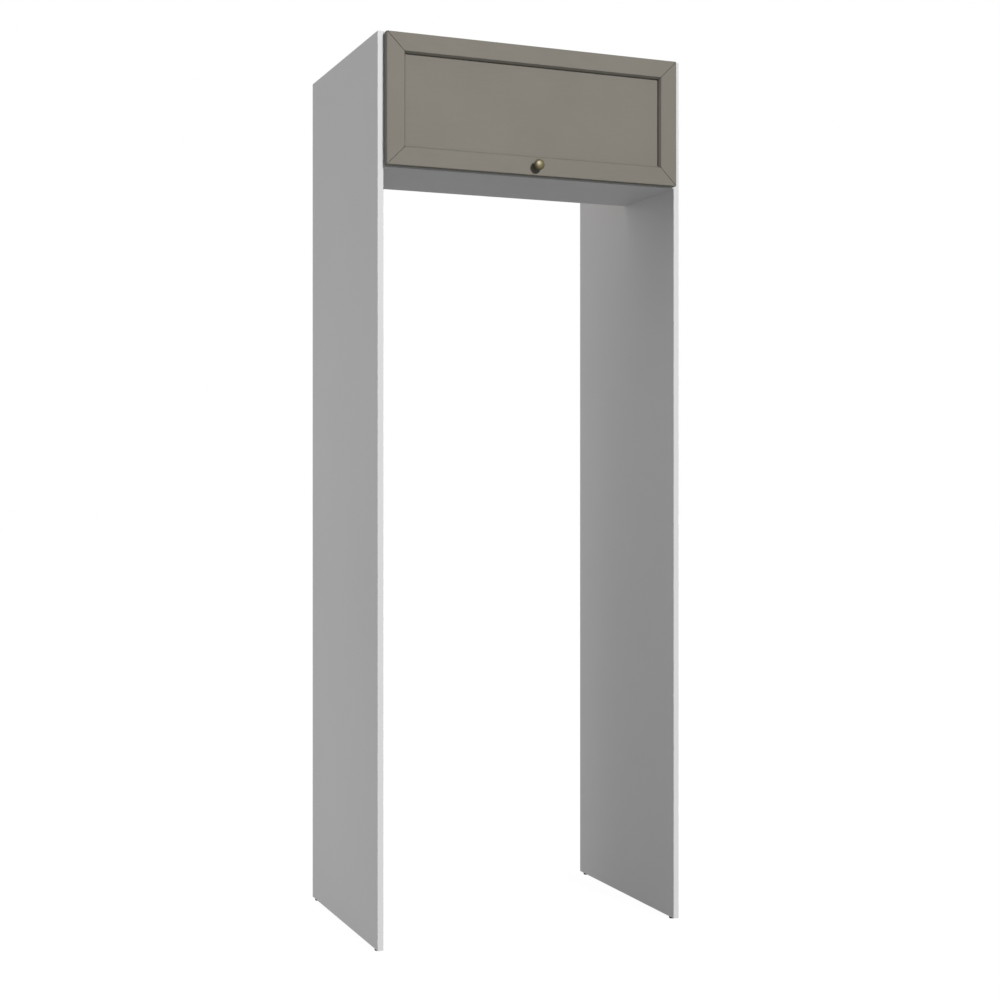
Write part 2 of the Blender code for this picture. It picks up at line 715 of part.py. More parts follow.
def bumper(kit, side, stile):
    """A push-in bumper that keeps the closed flap off the cupboard's side."""
    head = BUMPER_DIAMETER / 2
    stem = BUMPER_STEM_DIAMETER / 2
    thickness = DOOR_GAP - 2 * FIT_GAP
    profile = [
        (0, thickness),
        (head - thickness / 2, thickness),
        (head, thickness / 2),
        (head, 0),
        (stem, 0),
        (stem, -BUMPER_STEM_LENGTH),
        (0, -BUMPER_STEM_LENGTH),
    ]
    x = side * (CUPBOARD_HALF - BOARD_THICKNESS / 2)
    z = DOOR_BOTTOM + BUMPER_HEIGHT_ON_DOOR
    body = turned("door_bumper_" + side_name(side), profile, PIN_SEGMENTS)
    kit.part(body, kit.silicone, kit.flap, (x, DOOR_BACK + FIT_GAP, z), ALONG_BACK)
    hole_length = BUMPER_STEM_LENGTH + CUT_OVERRUN
    hole = cylinder("bumper_hole", stem + FIT_GAP, hole_length, PIN_SEGMENTS)
    kit.tool(hole, kit.flap, (x, DOOR_BACK + CUT_OVERRUN - hole_length / 2, z), ALONG_BACK)
    cut(stile, hole)


def hinge_cup(kit, name, x, top_rail):
    """The cup in the top rail: a drawn steel pot with a screwed flange on the door's back."""
    outer = CUP_DIAMETER / 2
    inner = outer - CUP_WALL
    cup = cylinder(name + "_cup", outer, CUP_DEPTH, CUP_SEGMENTS)
    kit.part(cup, kit.nickel, kit.flap, (x, DOOR_BACK - CUP_DEPTH / 2, CUP_CENTRE_Z), ALONG_BACK)
    flange_y = DOOR_BACK + FIT_GAP + FLANGE_THICKNESS / 2
    seat_depth = FLANGE_THICKNESS + FIT_GAP
    ear_z = CUP_CENTRE_Z - FLANGE_SCREW_OFFSET
    rim = outer + FLANGE_OVERLAP
    flat = math.asin(outer / rim)
    disc_outline = arc((0, 0), rim, 2 * QUARTER_TURN - flat, flat + 4 * QUARTER_TURN, CUP_SEGMENTS)
    disc = extruded("flange_disc", disc_outline, FLANGE_THICKNESS)
    kit.tool(disc, kit.flap, (x, flange_y, CUP_CENTRE_Z), ALONG_FRONT)
    half = FLANGE_SCREW_SPACING / 2
    steps = 2 * QUARTER_STEPS
    ears_outline = arc((half, 0), FLANGE_EAR_RADIUS, -QUARTER_TURN, QUARTER_TURN, steps)
    ears_outline += arc((-half, 0), FLANGE_EAR_RADIUS, QUARTER_TURN, 3 * QUARTER_TURN, steps)
    ears = extruded("flange_ears", ears_outline, FLANGE_THICKNESS)
    kit.tool(ears, kit.flap, (x, flange_y, ear_z), ALONG_FRONT)
    collar = cylinder("cup_collar", outer, seat_depth + FLANGE_THICKNESS, CUP_SEGMENTS)
    collar_y = DOOR_BACK + seat_depth - (seat_depth + FLANGE_THICKNESS) / 2
    kit.tool(collar, kit.flap, (x, collar_y, CUP_CENTRE_Z), ALONG_BACK)
    join(cup, disc)
    join(cup, ears)
    join(cup, collar)
    hollow_depth = CUP_DEPTH - CUP_WALL + seat_depth + CUT_OVERRUN
    hollow = cylinder("cup_hollow", inner, hollow_depth, CUP_SEGMENTS)
    hollow_y = DOOR_BACK + seat_depth + CUT_OVERRUN - hollow_depth / 2
    kit.tool(hollow, kit.flap, (x, hollow_y, CUP_CENTRE_Z), ALONG_BACK)
    cut(cup, hollow)
    pin_hole = cylinder("cup_pin_hole", HINGE_PIN_DIAMETER / 2 + FIT_GAP, CUP_DIAMETER, PIN_SEGMENTS)
    kit.tool(pin_hole, kit.flap, (x, AXIS_Y, AXIS_Z), ALONG_X)
    cut(cup, pin_hole)
    bore_depth = CUP_DEPTH + FIT_GAP + CUT_OVERRUN
    bore = cylinder("cup_bore", outer + FIT_GAP, bore_depth, CUP_SEGMENTS)
    bore_y = DOOR_BACK + CUT_OVERRUN - bore_depth / 2
    kit.tool(bore, kit.flap, (x, bore_y, CUP_CENTRE_Z), ALONG_BACK)
    cut(top_rail, bore)
    for end in (-1, 1):
        hand = "a" if end < 0 else "b"
        fixing = screw(
            "%s_cup_screw_%s" % (name, hand),
            CUP_SCREW_HEAD_DIAMETER,
            CUP_SCREW_HEAD_HEIGHT,
            CUP_SCREW_DIAMETER,
            CUP_SCREW_LENGTH,
        )
        screw_x = x + end * half
        head_y = DOOR_BACK + seat_depth + FIT_GAP
        kit.part(fixing, kit.nickel, kit.flap, (screw_x, head_y, ear_z), ALONG_BACK)
        hole_length = CUP_SCREW_LENGTH + FIT_GAP + CUT_OVERRUN
        hole = cylinder("cup_screw_hole", CUP_SCREW_DIAMETER / 2 + FIT_GAP, hole_length)
        kit.tool(hole, kit.flap, (screw_x, head_y + CUT_OVERRUN - hole_length / 2, ear_z), ALONG_BACK)
        cut(cup, hole)
        cut(top_rail, hole)


def hinge_pin(kit, name, x):
    """The pin across the cup that carries the flap."""
    highest = AXIS_Z - CUP_CENTRE_Z + HINGE_PIN_DIAMETER / 2
    half_chord = math.sqrt((CUP_DIAMETER / 2) ** 2 - highest ** 2)
    pin = cylinder(name + "_pin", HINGE_PIN_DIAMETER / 2, 2 * half_chord, PIN_SEGMENTS)
    kit.part(pin, kit.nickel, kit.flap, (x, AXIS_Y, AXIS_Z), ALONG_X)


def arm_neck_outline():
    """The gooseneck from the side: X to the back and Y up, both from the pin."""
    knuckle = KNUCKLE_DIAMETER / 2
    half = NECK_THICKNESS / 2
    bend = NECK_BEND_RADIUS
    rise = math.acos(half / knuckle)
    top = -NECK_DROP
    bottom = top - NECK_THICKNESS
    end = ARM_START - AXIS_Y + ARM_NOSE_SLOPE
    knuckle_arc = arc((0, 0), knuckle, -rise, 2 * QUARTER_TURN + rise, 3 * QUARTER_STEPS)
    outer_bend = bend + NECK_THICKNESS
    outer_centre = (outer_bend - half, bottom + outer_bend)
    outer = arc(outer_centre, outer_bend, 2 * QUARTER_TURN, 3 * QUARTER_TURN, QUARTER_STEPS)
    inner_centre = (bend + half, top + bend)
    inner = arc(inner_centre, bend, 3 * QUARTER_TURN, 2 * QUARTER_TURN, QUARTER_STEPS)
    return knuckle_arc + outer + [(end, bottom), (end, top)] + inner


def hinge_arm(kit, name, x):
    """The arm: a gooseneck to the pin, and a channel that sits over the mounting plate."""
    neck = extruded(name + "_arm", arm_neck_outline(), NECK_WIDTH)
    orient(neck, Vector((0, 1, 0)), Vector((0, 0, 1)), Vector((1, 0, 0)))
    arm = kit.part(neck, kit.nickel, kit.unit, (x, AXIS_Y, AXIS_Z))
    web_top = AXIS_Z - NECK_DROP
    web_bottom = web_top - NECK_THICKNESS
    wall_top = TOP_UNDERSIDE - PLATE_THICKNESS - 2 * FIT_GAP
    half = ARM_WIDTH / 2
    inside = half - ARM_WALL
    section = [
        (-half, web_bottom),
        (half, web_bottom),
        (half, wall_top),
        (inside, wall_top),
        (inside, web_top),
        (-inside, web_top),
        (-inside, wall_top),
        (-half, wall_top),
    ]
    length = ARM_END - ARM_START
    channel = extruded("arm_channel", [(u, v - web_bottom) for u, v in section], length)
    nose = Vector((0, ARM_NOSE_SLOPE, wall_top - web_bottom)).normalized()
    trim(channel, (0, 0, length / 2), nose)
    kit.tool(channel, kit.unit, (x, ARM_START + length / 2, web_bottom), ALONG_FRONT)
    join(arm, channel)
    return arm


def mounting_plate(kit, name, x, top_board):
    """The cross-shaped plate on the underside of the cupboard's top."""
    plate_top = TOP_UNDERSIDE - FIT_GAP
    wing = PLATE_WING_WIDTH / 2
    span = PLATE_SPAN / 2
    steps = 2 * QUARTER_STEPS
    wings_outline = arc((span - wing, 0), wing, -QUARTER_TURN, QUARTER_TURN, steps)
    wings_outline += arc((wing - span, 0), wing, QUARTER_TURN, 3 * QUARTER_TURN, steps)
    plate = extruded(name + "_plate", wings_outline, PLATE_THICKNESS)
    kit.part(plate, kit.nickel, kit.unit, (x, PLATE_SETBACK, plate_top - PLATE_THICKNESS / 2))
    spine_width = ARM_WIDTH - 2 * ARM_WALL - 2 * FIT_GAP
    spine_bottom = AXIS_Z - NECK_DROP + FIT_GAP
    spine = box("plate_spine", (spine_width, PLATE_LENGTH, plate_top - spine_bottom))
    kit.tool(spine, kit.unit, (x, PLATE_SETBACK, (plate_top + spine_bottom) / 2))
    join(plate, spine)
    for end in (-1, 1):
        hand = "a" if end < 0 else "b"
        screw_x = x + end * PLATE_SCREW_SPACING / 2
        face_z = plate_top - PLATE_THICKNESS
        fixing = screw(
            "%s_plate_screw_%s" % (name, hand),
            PLATE_SCREW_HEAD_DIAMETER,
            PLATE_SCREW_HEAD_HEIGHT,
            PLATE_SCREW_DIAMETER,
            PLATE_SCREW_LENGTH,
            countersunk=True,
        )
        kit.part(fixing, kit.nickel, kit.unit, (screw_x, PLATE_SETBACK, face_z), UPSIDE_DOWN)
        head_step = (PLATE_SCREW_HEAD_DIAMETER - PLATE_SCREW_DIAMETER) / 2
        reach = PLATE_SCREW_HEAD_HEIGHT + CUT_OVERRUN
        narrow = PLATE_SCREW_DIAMETER / 2 + FIT_GAP
        wide = narrow + head_step * reach / PLATE_SCREW_HEAD_HEIGHT
        sink = cone("screw_sink", wide, narrow, reach)
        kit.tool(sink, kit.unit, (screw_x, PLATE_SETBACK, face_z - CUT_OVERRUN + reach / 2))
        cut(plate, sink)
        hole_length = PLATE_SCREW_LENGTH + FIT_GAP + CUT_OVERRUN
        hole = cylinder("plate_screw_hole", narrow, hole_length)
        kit.tool(hole, kit.unit, (screw_x, PLATE_SETBACK, face_z - CUT_OVERRUN + hole_length / 2))
        cut(plate, hole)
        cut(top_board, hole)
    return plate


def arm_screws(kit, name, x, arm, plate):
    """The adjusting screw and the clamping screw that hold the arm on its plate."""
    web_bottom = AXIS_Z - NECK_DROP - NECK_THICKNESS
    for word, offset in (("adjusting", -1), ("clamping", 1)):
        y = PLATE_SETBACK + offset * ARM_SCREW_SPACING / 2
        fixing = screw(
            "%s_%s_screw" % (name, word),
            ARM_SCREW_HEAD_DIAMETER,
            ARM_SCREW_HEAD_HEIGHT,
            ARM_SCREW_DIAMETER,
            ARM_SCREW_LENGTH,
        )
        kit.part(fixing, kit.zinc, kit.unit, (x, y, web_bottom - FIT_GAP), UPSIDE_DOWN)
        hole_length = ARM_SCREW_LENGTH + FIT_GAP + CUT_OVERRUN
        hole = cylinder("arm_screw_hole", ARM_SCREW_DIAMETER / 2 + FIT_GAP, hole_length)
        kit.tool(hole, kit.unit, (x, y, web_bottom - FIT_GAP - CUT_OVERRUN + hole_length / 2))
        cut(arm, hole)
        cut(plate, hole)


def hinge(kit, side, top_rail, top_board):
    """One complete hinge."""
    name = side_name(side) + "_hinge"
    x = side * HINGE_X
    hinge_cup(kit, name, x, top_rail)
    hinge_pin(kit, name, x)
    arm = hinge_arm(kit, name, x)
    knuckle_hole = cylinder(
        "knuckle_hole", HINGE_PIN_DIAMETER / 2 + FIT_GAP, NECK_WIDTH + CUT_OVERRUN, PIN_SEGMENTS
    )
    kit.tool(knuckle_hole, kit.unit, (x, AXIS_Y, AXIS_Z), ALONG_X)
    cut(arm, knuckle_hole)
    plate = mounting_plate(kit, name, x, top_board)
    arm_screws(kit, name, x, arm, plate)


def socket(kit, name, carrier, opening):
    """A ball socket about its pivot: its neck runs along local Z and its mouth faces local X."""
    head = cylinder(name, SOCKET_HEAD_DIAMETER / 2, SOCKET_HEAD_WIDTH, TUBE_SEGMENTS)
    orient(head, Vector((0, 1, 0)), Vector((0, 0, 1)), Vector((1, 0, 0)))
    kit.part(head, kit.black_plastic, carrier, (0, 0, 0))
    neck = cylinder("socket_neck", SOCKET_NECK_DIAMETER / 2, SOCKET_REACH, TUBE_SEGMENTS)
    kit.tool(neck, carrier, (0, 0, SOCKET_REACH / 2))
    join(head, neck)
    seat_radius = BALL_DIAMETER / 2 + FIT_GAP
    mouth = SOCKET_HEAD_WIDTH / 2 + CUT_OVERRUN
    seat = cylinder("ball_seat", seat_radius, mouth + seat_radius, TUBE_SEGMENTS)
    seat_x = opening * (mouth - seat_radius) / 2
    kit.tool(seat, carrier, (seat_x, 0, 0), ALONG_X)
    cut(head, seat)
    hole_length = SPIGOT_LENGTH + FIT_GAP + CUT_OVERRUN
    hole = cylinder("spigot_hole", SPIGOT_DIAMETER / 2 + FIT_GAP, hole_length)
    kit.tool(hole, carrier, (0, 0, SOCKET_REACH + CUT_OVERRUN - hole_length / 2))
    cut(head, hole)


def strut_tube(kit, name, carrier):
    """The strut's tube: closed and shouldered at the pivot end, open at its mouth."""
    outer = TUBE_DIAMETER / 2
    inner = outer - TUBE_WALL
    spigot = SPIGOT_DIAMETER / 2
    floor = TUBE_START + TUBE_FLOOR
    profile = [
        (0, floor),
        (inner, floor),
        (inner, TUBE_MOUTH - FIT_GAP),
        (outer, TUBE_MOUTH - FIT_GAP),
        (outer, TUBE_START + TUBE_SHOULDER),
        (outer - TUBE_SHOULDER, TUBE_START),
        (spigot, TUBE_START),
        (spigot, SOCKET_REACH - SPIGOT_LENGTH),
        (0, SOCKET_REACH - SPIGOT_LENGTH),
    ]
    kit.part(turned(name, profile, TUBE_SEGMENTS), kit.black_steel, carrier, (0, 0, 0))


def strut_bush(kit, name, carrier):
    """The guide bush in the tube's mouth."""
    flange = TUBE_DIAMETER / 2
    body = flange - TUBE_WALL - FIT_GAP
    bore = ROD_DIAMETER / 2 + FIT_GAP
    top = TUBE_MOUTH + BUSH_FLANGE
    inner_end = TUBE_MOUTH - BUSH_LENGTH
    profile = [
        (bore, top),
        (flange - BUSH_FLANGE, top),
        (flange, TUBE_MOUTH + BUSH_FLANGE / 2),
        (flange, TUBE_MOUTH),
        (body, TUBE_MOUTH),
        (body, inner_end),
        (bore, inner_end),
        (bore, top),
    ]
    kit.part(turned(name, profile, TUBE_SEGMENTS), kit.black_plastic, carrier, (0, 0, 0))


def strut_rod(kit, name, carrier):
    """The piston rod, measured from the rod's own pivot towards the tube."""
    rod = ROD_DIAMETER / 2
    piston = TUBE_DIAMETER / 2 - TUBE_WALL - PISTON_GAP
    spigot = SPIGOT_DIAMETER / 2
    shoulder = SOCKET_REACH + FIT_GAP
    inner_end = CLOSED_LENGTH - ROD_INNER_END
    profile = [
        (0, inner_end),
        (piston, inner_end),
        (piston, inner_end - PISTON_LENGTH),
        (rod, inner_end - PISTON_LENGTH),
        (rod, shoulder),
        (spigot, shoulder),
        (spigot, SOCKET_REACH - SPIGOT_LENGTH),
        (0, SOCKET_REACH - SPIGOT_LENGTH),
    ]
    kit.part(turned(name, profile, TUBE_SEGMENTS), kit.chrome, carrier, (0, 0, 0))


def ball_stud(kit, piece, parent, base_x, pivot):
    """Adds a ball on a neck to a bracket, from the bracket's plate to the pivot."""
    x, y, z = pivot
    length = abs(x - base_x)
    neck = cylinder("ball_neck", BALL_NECK_DIAMETER / 2, length)
    kit.tool(neck, parent, ((x + base_x) / 2, y, z), ALONG_X)
    join(piece, neck)
    head = ball("ball", BALL_DIAMETER / 2, PIN_SEGMENTS)
    kit.tool(head, parent, pivot, ALONG_X)
    join(piece, head)


def side_bracket(kit, side):
    """The plate on the cupboard's side that carries the tube's ball."""
    name = side_name(side) + "_strut_side_bracket"
    half = SIDE_BRACKET_WIDTH / 2
    reach = SIDE_BRACKET_LENGTH / 2
    steps = 2 * QUARTER_STEPS
    outline = arc((reach - half, 0), half, -QUARTER_TURN, QUARTER_TURN, steps)
    outline += arc((half - reach, 0), half, QUARTER_TURN, 3 * QUARTER_TURN, steps)
    plate = extruded(name, outline, SIDE_BRACKET_THICKNESS)
    orient(plate, Vector((0, 1, 0)), Vector((0, 0, 1)), Vector((1, 0, 0)))
    x = side * (CUPBOARD_INNER_HALF - FIT_GAP - SIDE_BRACKET_THICKNESS / 2)
    kit.part(plate, kit.zinc, kit.unit, (x, TUBE_PIVOT_Y, TUBE_PIVOT_Z))
    ball_stud(kit, plate, kit.unit, x, (side * STRUT_X, TUBE_PIVOT_Y, TUBE_PIVOT_Z))
    for end in (-1, 1):
        hole = cylinder(
            "side_bracket_hole", BRACKET_HOLE_DIAMETER / 2, SIDE_BRACKET_THICKNESS + 2 * CUT_OVERRUN
        )
        y = TUBE_PIVOT_Y + end * (reach - BRACKET_HOLE_MARGIN)
        kit.tool(hole, kit.unit, (x, y, TUBE_PIVOT_Z), ALONG_X)
        cut(plate, hole)


def door_bracket(kit, side):
    """The angle on the flap's stile that carries the rod's ball."""
    name = side_name(side) + "_strut_door_bracket"
    thickness = DOOR_BRACKET_THICKNESS
    ear_x = STRUT_X - DOOR_BRACKET_EAR_OFFSET - thickness / 2
    foot_x = ear_x - thickness / 2 + DOOR_BRACKET_WIDTH / 2
    foot = box(name, (DOOR_BRACKET_WIDTH, thickness, DOOR_BRACKET_HEIGHT))
    foot_y = DOOR_BACK + FIT_GAP + thickness / 2
    kit.part(foot, kit.zinc, kit.flap, (side * foot_x, foot_y, ROD_PIVOT_Z))
    half = DOOR_BRACKET_EAR_WIDTH / 2
    height = STRUT_STAND_OFF_DOOR - FIT_GAP
    ear_outline = [(0, -half)]
    ear_outline += arc((height, 0), half, -QUARTER_TURN, QUARTER_TURN, 2 * QUARTER_STEPS)
    ear_outline += [(0, half)]
    ear = extruded("bracket_ear", ear_outline, thickness)
    orient(ear, Vector((0, 1, 0)), Vector((0, 0, 1)), Vector((1, 0, 0)))
    kit.tool(ear, kit.flap, (side * ear_x, DOOR_BACK + FIT_GAP, ROD_PIVOT_Z))
    join(foot, ear)
    ball_stud(kit, foot, kit.flap, side * ear_x, (side * STRUT_X, ROD_PIVOT_Y, ROD_PIVOT_Z))
    for end in (-1, 1):
        hole = cylinder(
            "door_bracket_hole", BRACKET_HOLE_DIAMETER / 2, thickness + 2 * CUT_OVERRUN
        )
        z = ROD_PIVOT_Z + end * (DOOR_BRACKET_HEIGHT / 2 - BRACKET_HOLE_MARGIN)
        kit.tool(hole, kit.flap, (side * (foot_x + thickness / 2), foot_y, z), ALONG_BACK)
        cut(foot, hole)


def strut(kit, side):
    """One gas strut. Its tube swings on the cupboard's side and its rod on the flap."""
    name = side_name(side) + "_strut"
    tilt = (STRUT_TILT, 0, 0)
    tube_place = (side * STRUT_X, TUBE_PIVOT_Y, TUBE_PIVOT_Z)
    tube_axis = kit.empty(name + "_tube_axis", kit.unit, tube_place, tilt)
    rod_place = Vector((side * STRUT_X, ROD_PIVOT_Y, ROD_PIVOT_Z)) - kit.flap.location
    rod_tilt = (STRUT_TILT + 2 * QUARTER_TURN, 0, 0)
    rod_axis = kit.empty(name + "_rod_axis", kit.flap, rod_place, rod_tilt)
    strut_tube(kit, name + "_tube", tube_axis)
    strut_bush(kit, name + "_guide_bush", tube_axis)
    socket(kit, name + "_tube_socket", tube_axis, side)
    strut_rod(kit, name + "_rod", rod_axis)
    socket(kit, name + "_rod_socket", rod_axis, -side)
    side_bracket(kit, side)
    door_bracket(kit, side)


def wall_bracket(kit, side):
    """An angle inside a side panel's rear edge, for a screw into the wall."""
    name = "wall_bracket_" + side_name(side)
    leg = WALL_BRACKET_LEG
    thickness = WALL_BRACKET_THICKNESS
    outline = [
        (0, 0),
        (-side * leg, 0),
        (-side * leg, -thickness),
        (-side * thickness, -thickness),
        (-side * thickness, -leg),
        (0, -leg),
    ]
    bracket = extruded(name, outline, WALL_BRACKET_HEIGHT)
    corner = bracket.modifiers.new("round_corners", "BEVEL")
    corner.width = thickness / 3
    corner.segments = 1
    corner.limit_method = "ANGLE"
    x = side * CUPBOARD_HALF
    z = PANEL_TOP - WALL_BRACKET_DROP
    kit.part(bracket, kit.zinc, kit.unit, (x, PANEL_DEPTH, z))
    hole_length = thickness + 2 * CUT_OVERRUN
    for turn, place in (
        (ALONG_BACK, (x - side * leg / 2, PANEL_DEPTH - thickness / 2, z)),
        (ALONG_X, (x - side * thickness / 2, PANEL_DEPTH - leg / 2, z)),
    ):
        hole = cylinder("wall_bracket_hole", WALL_BRACKET_HOLE_DIAMETER / 2, hole_length)
        kit.tool(hole, kit.unit, place, turn)
        cut(bracket, hole)


def main():
    """Builds the whole unit."""
    clear_scene()
    kit = Kit()
    panels = {side: side_panel(kit, side) for side in (-1, 1)}
    sides, boards = cupboard(kit)
    connectors(kit, panels, sides)
    members = door(kit)
    knob(kit, members["bottom"])
    for side in (-1, 1):
        bumper(kit, side, members[side])
        hinge(kit, side, members["top"], boards["top"])
        strut(kit, side)
        wall_bracket(kit, side)


main()
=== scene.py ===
"""Looks for a fridge housing unit: white boards, a lacquered lift-up flap and its metal fittings.

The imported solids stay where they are. Flat boards keep their solids and get their real surfaces.
Round and stamped pieces are made again with finer shapes, in metres, and stand for their solids.
"""

import json
import math
from collections import namedtuple

import bmesh
import bpy
from mathutils import Matrix, Vector

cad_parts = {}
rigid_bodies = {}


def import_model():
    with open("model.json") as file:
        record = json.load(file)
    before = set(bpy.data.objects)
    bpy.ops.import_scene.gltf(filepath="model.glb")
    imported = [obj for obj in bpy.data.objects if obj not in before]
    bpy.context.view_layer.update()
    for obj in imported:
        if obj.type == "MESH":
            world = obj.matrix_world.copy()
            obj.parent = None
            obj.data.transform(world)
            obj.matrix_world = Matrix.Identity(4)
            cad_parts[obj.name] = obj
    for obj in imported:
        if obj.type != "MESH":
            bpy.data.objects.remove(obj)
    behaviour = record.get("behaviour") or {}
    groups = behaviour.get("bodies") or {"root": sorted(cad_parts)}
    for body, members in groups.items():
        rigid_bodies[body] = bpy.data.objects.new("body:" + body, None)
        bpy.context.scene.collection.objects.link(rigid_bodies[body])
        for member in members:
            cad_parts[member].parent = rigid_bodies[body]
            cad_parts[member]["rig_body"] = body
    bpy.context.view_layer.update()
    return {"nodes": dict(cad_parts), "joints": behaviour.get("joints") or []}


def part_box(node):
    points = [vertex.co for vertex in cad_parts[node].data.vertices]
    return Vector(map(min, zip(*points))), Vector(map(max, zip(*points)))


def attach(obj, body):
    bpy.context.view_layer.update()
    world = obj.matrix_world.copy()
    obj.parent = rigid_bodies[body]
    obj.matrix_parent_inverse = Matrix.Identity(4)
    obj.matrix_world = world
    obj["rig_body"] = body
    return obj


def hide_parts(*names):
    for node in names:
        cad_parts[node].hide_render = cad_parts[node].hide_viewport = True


bl_info = {
    "name": "Fridge housing unit",
    "version": (1, 0, 0),
    "blender": (4, 5, 0),
    "location": "3D View > Sidebar > Housing",
    "description": "Gives the solids of a tall kitchen housing their real surfaces and fittings",
    "category": "Object",
}

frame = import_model()

CARCASS = "carcass"
FLAP = "flap"
SIDES = ("left", "right")

MM = 0.001
HALF = 0.5
FULL_TURN = 2 * math.pi
QUARTER_TURN = math.pi / 2
RIGHT = Vector((1, 0, 0))
BACK = Vector((0, 1, 0))
UP = Vector((0, 0, 1))
INWARD = {"left": RIGHT, "right": -RIGHT}

# Points nearer than this are one.
WELD = 0.001 * MM
# Faces that turn by less than the first angle are one. By more than the second they make an edge.
FLAT_ANGLE = math.radians(0.5)
HARD_ANGLE = math.radians(30)
# A turned solid's rim is what lies beyond this share of its widest radius.
RIM_SHARE = 0.9

# A surface faces a direction if the cosine between them is more than this.
SQUARE_ON = 0.9
# The thickness of a flat-lying wood chip against its length, and the specks along a chip.
CHIP_THINNESS = 0.3
CHIP_SPECKS = 4
# What a bare chipboard edge adds to the roughness.
BARE_DULLNESS = 0.45
# How long one wave of the Wave texture is, in metres, at a scale of 1.
WAVE_LENGTH = FULL_TURN / 20
# The patina's patches: their contrast, their shift towards brass and what the rim adds to them.
# At the rim this is partly oxide and partly painted shade.
MOTTLE_CONTRAST = 1.4
MOTTLE_SHIFT = -0.15
RIM_PATINA_AND_SHADE = 0.75
# Against the knob's radius: where the darkening starts to grow outwards, the dome's middle staying
# pale as rubbed brass and as a painted highlight, and the rim going dark with oxide and painted
# shade; and how far before and behind the knob's middle the patina grows from front to back.
DOME_RUBBED_AND_HIGHLIT = 0.6
SIDE_FADE = 0.3
# The knob's turning marks: their spacing, and their height against the patina's relief.
TURNING_SPACING = 0.8 * MM
TURNING_RELIEF = 0.05
# Where the sky's light starts and ends to grow, as the heading's share towards the back.
SKY_GROWS = (-0.75, 0.05)

# A cross recess against the head's radius, and its wings' tips against their tops.
RECESS_SPAN = 1.25
RECESS_DEPTH = 0.75
RECESS_TIP = (0.35, 0.5, 1)
# The straight edge below a screw head's dome, against the head's height.
HEAD_EDGE = 0.35
# The rounding of the bush's collar, against the collar's height.
COLLAR_ROUNDING = 0.8
# Bracket screws: their distance from a bracket's ends and from the door bracket's inner side, and
# the thickness of the plates below their heads.
SCREW_MARGIN = 7 * MM
SCREW_INSET = 11 * MM
SIDE_PLATE = 2.5 * MM
DOOR_PLATE = 2 * MM
WALL_PLATE = 2 * MM
# How far the studio's floor reaches from the object, in metres.
FLOOR_REACH = 40


def linear(code):
    """An sRGB hex colour as linear red, green, blue and alpha."""
    channels = [int(code[place:place + 2], 16) / 255 for place in (1, 3, 5)]
    return [c / 12.92 if c <= 0.04045 else ((c + 0.055) / 1.055) ** 2.4 for c in channels] + [1.0]


def colour_property(name, description, code):
    """A colour that the panel shows, from its hex code."""
    return bpy.props.FloatVectorProperty(
        name=name, description=description, default=linear(code),
        subtype="COLOR", size=4, min=0, max=1,
    )


def number_property(name, description, default, **kind):
    """A number that the panel shows."""
    return bpy.props.FloatProperty(name=name, description=description, default=default, **kind)


def length_property(name, description, default):
    """A length in metres that the panel shows."""
    return number_property(name, description, default, unit="LENGTH", precision=5, min=0)


def place_property(name, description, default):
    """A place in metres that the panel shows."""
    return bpy.props.FloatVectorProperty(
        name=name, description=description, subtype="XYZ", unit="LENGTH", default=default
    )


def steps_property(description, default):
    """A count of facets that the panel shows."""
    return bpy.props.IntProperty(name="Steps", description=description, min=12, default=default)


class BoardSettings(bpy.types.PropertyGroup):
    """Sizes and colours of the boards."""

    face_colour: colour_property("Face", "Melamine paper on the boards' faces", "#E7E7E8")
    shade_colour: colour_property("Face, second tone", "The paper's slight unevenness", "#E3E3E4")
    band_colour: colour_property("Edge band", "Plastic band on the boards' edges", "#E8E8E8")
    chip_colour: colour_property("Chips", "Wood chips on a bare edge", "#D0B184")
    core_colour: colour_property("Core", "Glue and dust between chips and fibres", "#84643F")
    fibre_colour: colour_property("Fibre", "The bare back of the hardboard", "#A58360")
    pebble: length_property("Pebble", "Width of the pressed pebble", 0.0022)
    chip: length_property("Chip", "Length of a wood chip on a bare edge", 0.0040)
    screen: length_property("Screen", "Wire spacing of the press screen on the hardboard", 0.0024)


class FlapSettings(bpy.types.PropertyGroup):
    """Sizes and colours of the flap."""

    lacquer_colour: colour_property("Lacquer", "Pigmented satin lacquer", "#828077")
    second_colour: colour_property("Lacquer, second tone", "The film where it is thin", "#7C7A71")
    gloss_colour: colour_property("Gloss", "Warm tint of the lacquer's sheen", "#FFEDE4")
    grain_width: length_property("Grain width", "Width of the grain that telegraphs", 0.0016)
    grain_length: length_property("Grain length", "Length of the grain that telegraphs", 0.060)
    bumper_colour: colour_property("Bumper", "Clear polyurethane", "#E4E8E4")


class KnobSettings(bpy.types.PropertyGroup):
    """Sizes and colours of the knob."""

    # The brass colour fills the dome's pale middle, partly rubbed metal and partly a painted
    # highlight. The patina colour darkens the patches and the hollow below the rim, and the rim
    # partly as painted shade.
    brass_and_highlight_colour: colour_property("Brass", "Rubbed brass on the high places", "#938A62")
    patina_and_shade_colour: colour_property("Patina", "Dull oxide over the brass", "#5E5537")
    steps: steps_property("Facets round the turned knob", 96)
    dome_height: length_property("Dome height", "Height of the domed face", 0.0045)
    rim_height: length_property("Rim height", "Height of the rim below the dome", 0.0016)
    undercut: length_property("Undercut", "Height of the hollow below the rim", 0.0042)
    neck_diameter: length_property("Neck", "Diameter of the waist", 0.0095)
    foot_diameter: length_property("Foot", "Diameter of the foot on the flap", 0.017)
    foot_height: length_property("Foot height", "Height of the foot's edge", 0.0018)
    hole_diameter: length_property("Hole", "Diameter of the screw's hole", 0.0046)
    hole_depth: length_property("Hole depth", "Depth of the screw's hole", 0.012)


